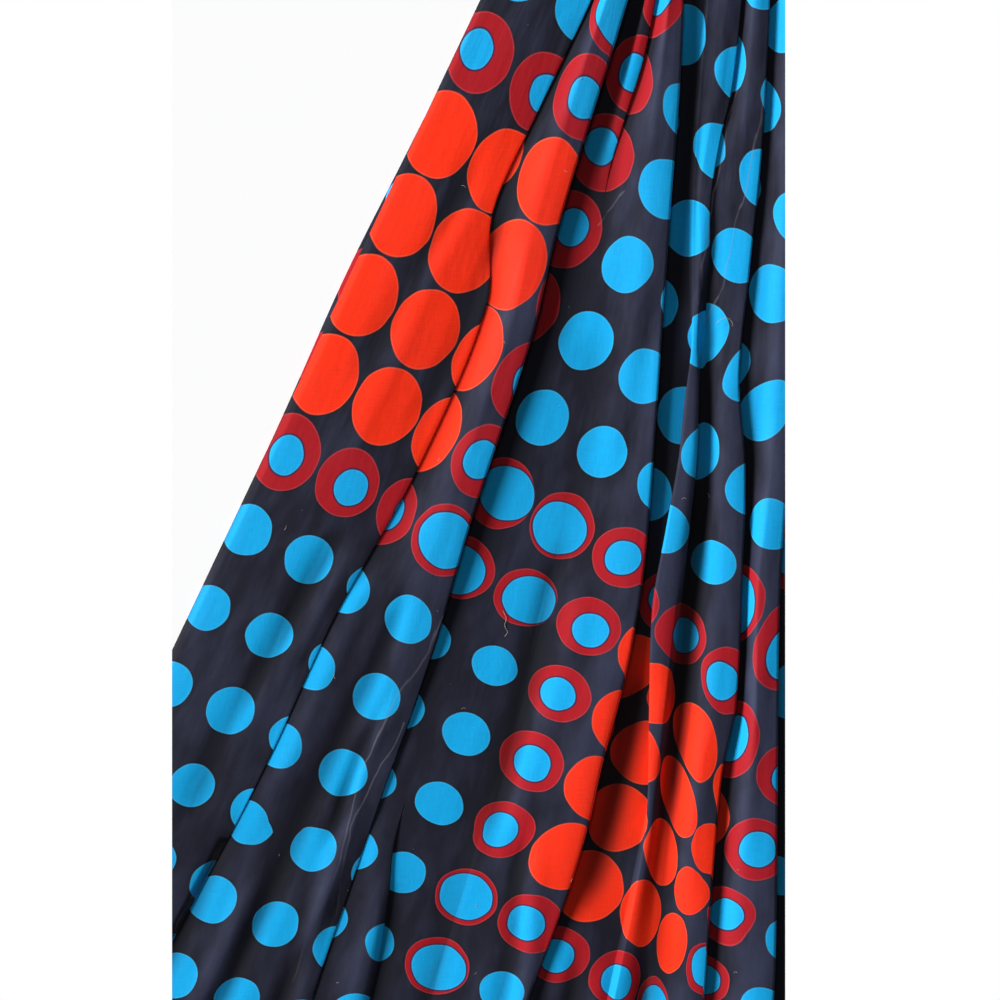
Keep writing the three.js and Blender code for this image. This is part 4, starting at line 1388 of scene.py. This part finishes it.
class SKIRT_OT_stage(SkirtOperator, Operator):
    """Make the pale floor, the soft lights and the camera"""

    bl_idname = "skirt.stage"
    bl_label = "Stage"

    def execute(self, context):
        scene = bpy.context.scene
        settings = scene.skirt_stage
        scene.view_settings.view_transform = "Standard"
        scene.view_settings.look = "None"
        floor_mesh = bpy.data.meshes.new("floor")
        corners = [(x * FLOOR_REACH, y * FLOOR_REACH, 0) for x, y in ((-1, -1), (1, -1), (1, 1), (-1, 1))]
        floor_mesh.from_pydata(corners, [], [(0, 1, 2, 3)])
        material, tree = new_material("pale_floor")
        grain = tree.node("ShaderNodeTexNoise", None, {"Scale": 3.0})
        shade = tree.multiply(opaque(FLOOR_COLOUR), 0.99 + grain * 0.02)
        shader = tree.node("ShaderNodeBsdfPrincipled", None, {
            "Base Color": shade, "Roughness": 0.9,
            "Emission Color": (1, 1, 1, 1), "Emission Strength": FLOOR_GLOW,
        })
        tree.node("ShaderNodeOutputMaterial", None, {"Surface": shader})
        floor_mesh.materials.append(material)
        floor = add_object("floor", floor_mesh)

        world = bpy.data.worlds.new("even_light")
        scene.world = world
        world.use_nodes = True
        sky = Tree(world.node_tree)
        direction = sky.node("ShaderNodeTexCoord")
        up = sky.node("ShaderNodeSeparateXYZ", None, {0: direction}, output=2)
        horizon = clamp01((HORIZON_TOP - up) * HORIZON_EDGE)
        light = sky.node("ShaderNodeBackground", None, {
            "Color": opaque(SKY_COLOUR), "Strength": horizon * HORIZON_LIGHT + settings.fill,
        })
        sky.node("ShaderNodeOutputWorld", None, {"Surface": light})

        for name, azimuth, elevation, softness, share in SUNS:
            light_data = bpy.data.lights.new(name, "SUN")
            light_data.angle = math.radians(softness)
            light_data.energy = settings.key * share
            sun = add_object(name, light_data)
            turn, rise = math.radians(azimuth), math.radians(elevation)
            sun.rotation_euler = (math.pi / 2 - rise, 0, turn + math.pi / 2)

        camera_data = bpy.data.cameras.new("camera")
        camera_data.lens = settings.lens
        camera_data.sensor_width = SENSOR_WIDTH
        camera_data.clip_start = 0.001
        camera_data.clip_end = 20.0
        distance = settings.view_width / SENSOR_WIDTH * settings.lens
        camera = add_object("camera", camera_data)
        camera.location = (VIEW_CENTRE[0], VIEW_CENTRE[1], VIEW_CENTRE[2] + distance)
        scene.camera = camera
        if settings.margins:
            self.margins(distance, settings)
        return {"FINISHED"}

    def margins(self, distance, settings):
        """Two tiny white cards close to the lens, which give the picture its plain sides."""
        half = settings.view_width / 2 * CARD_AHEAD / distance
        mesh = bpy.data.meshes.new("margin_cards")
        points, faces = [], []
        height = VIEW_CENTRE[2] + distance - CARD_AHEAD
        for low, high in CARD_SIDES:
            first = len(points)
            corners = ((low, -CARD_REACH), (high, -CARD_REACH), (high, CARD_REACH), (low, CARD_REACH))
            for across, up in corners:
                points.append((VIEW_CENTRE[0] + across * half, VIEW_CENTRE[1] + up * half, height))
            faces.append(tuple(range(first, first + 4)))
        mesh.from_pydata(points, [], faces)
        material, tree = new_material("margin_white")
        glow = tree.node("ShaderNodeEmission", None, {"Color": (1, 1, 1, 1), "Strength": 1.0})
        tree.node("ShaderNodeOutputMaterial", None, {"Surface": glow})
        mesh.materials.append(material)
        cards = add_object("margin_cards", mesh)
        cards.visible_shadow = False
        cards.visible_diffuse = False
        cards.visible_glossy = False


class SKIRT_PT_panel(Panel):
    """The skirt's pieces and settings"""

    bl_label = "Flared Skirt"
    bl_idname = "SKIRT_PT_panel"
    bl_space_type = "VIEW_3D"
    bl_region_type = "UI"
    bl_category = "Skirt"

    def draw(self, context):
        for settings in (context.scene.skirt_sizes, context.scene.skirt_colours, context.scene.skirt_stage):
            box = self.layout.box()
            for name in settings.bl_rna.properties.keys():
                if name not in ("rna_type", "name"):
                    box.prop(settings, name)
        for operator in OPERATORS:
            self.layout.operator(operator.bl_idname)


OPERATORS = (SKIRT_OT_back_panel, SKIRT_OT_front_panel, SKIRT_OT_waistband, SKIRT_OT_stage)
SETTINGS = (("skirt_sizes", SkirtSizes), ("skirt_colours", SkirtColours), ("skirt_stage", StageSettings))


def register():
    for name, settings in SETTINGS:
        bpy.utils.register_class(settings)
        setattr(bpy.types.Scene, name, PointerProperty(type=settings))
    for operator in OPERATORS:
        bpy.utils.register_class(operator)
    bpy.utils.register_class(SKIRT_PT_panel)


def unregister():
    bpy.utils.unregister_class(SKIRT_PT_panel)
    for operator in reversed(OPERATORS):
        bpy.utils.unregister_class(operator)
    for name, settings in reversed(SETTINGS):
        delattr(bpy.types.Scene, name)
        bpy.utils.unregister_class(settings)


def main():
    register()
    bpy.ops.skirt.back_panel()
    bpy.ops.skirt.front_panel()
    bpy.ops.skirt.waistband()
    bpy.ops.skirt.stage()


if __name__ == "__main__":
    main()
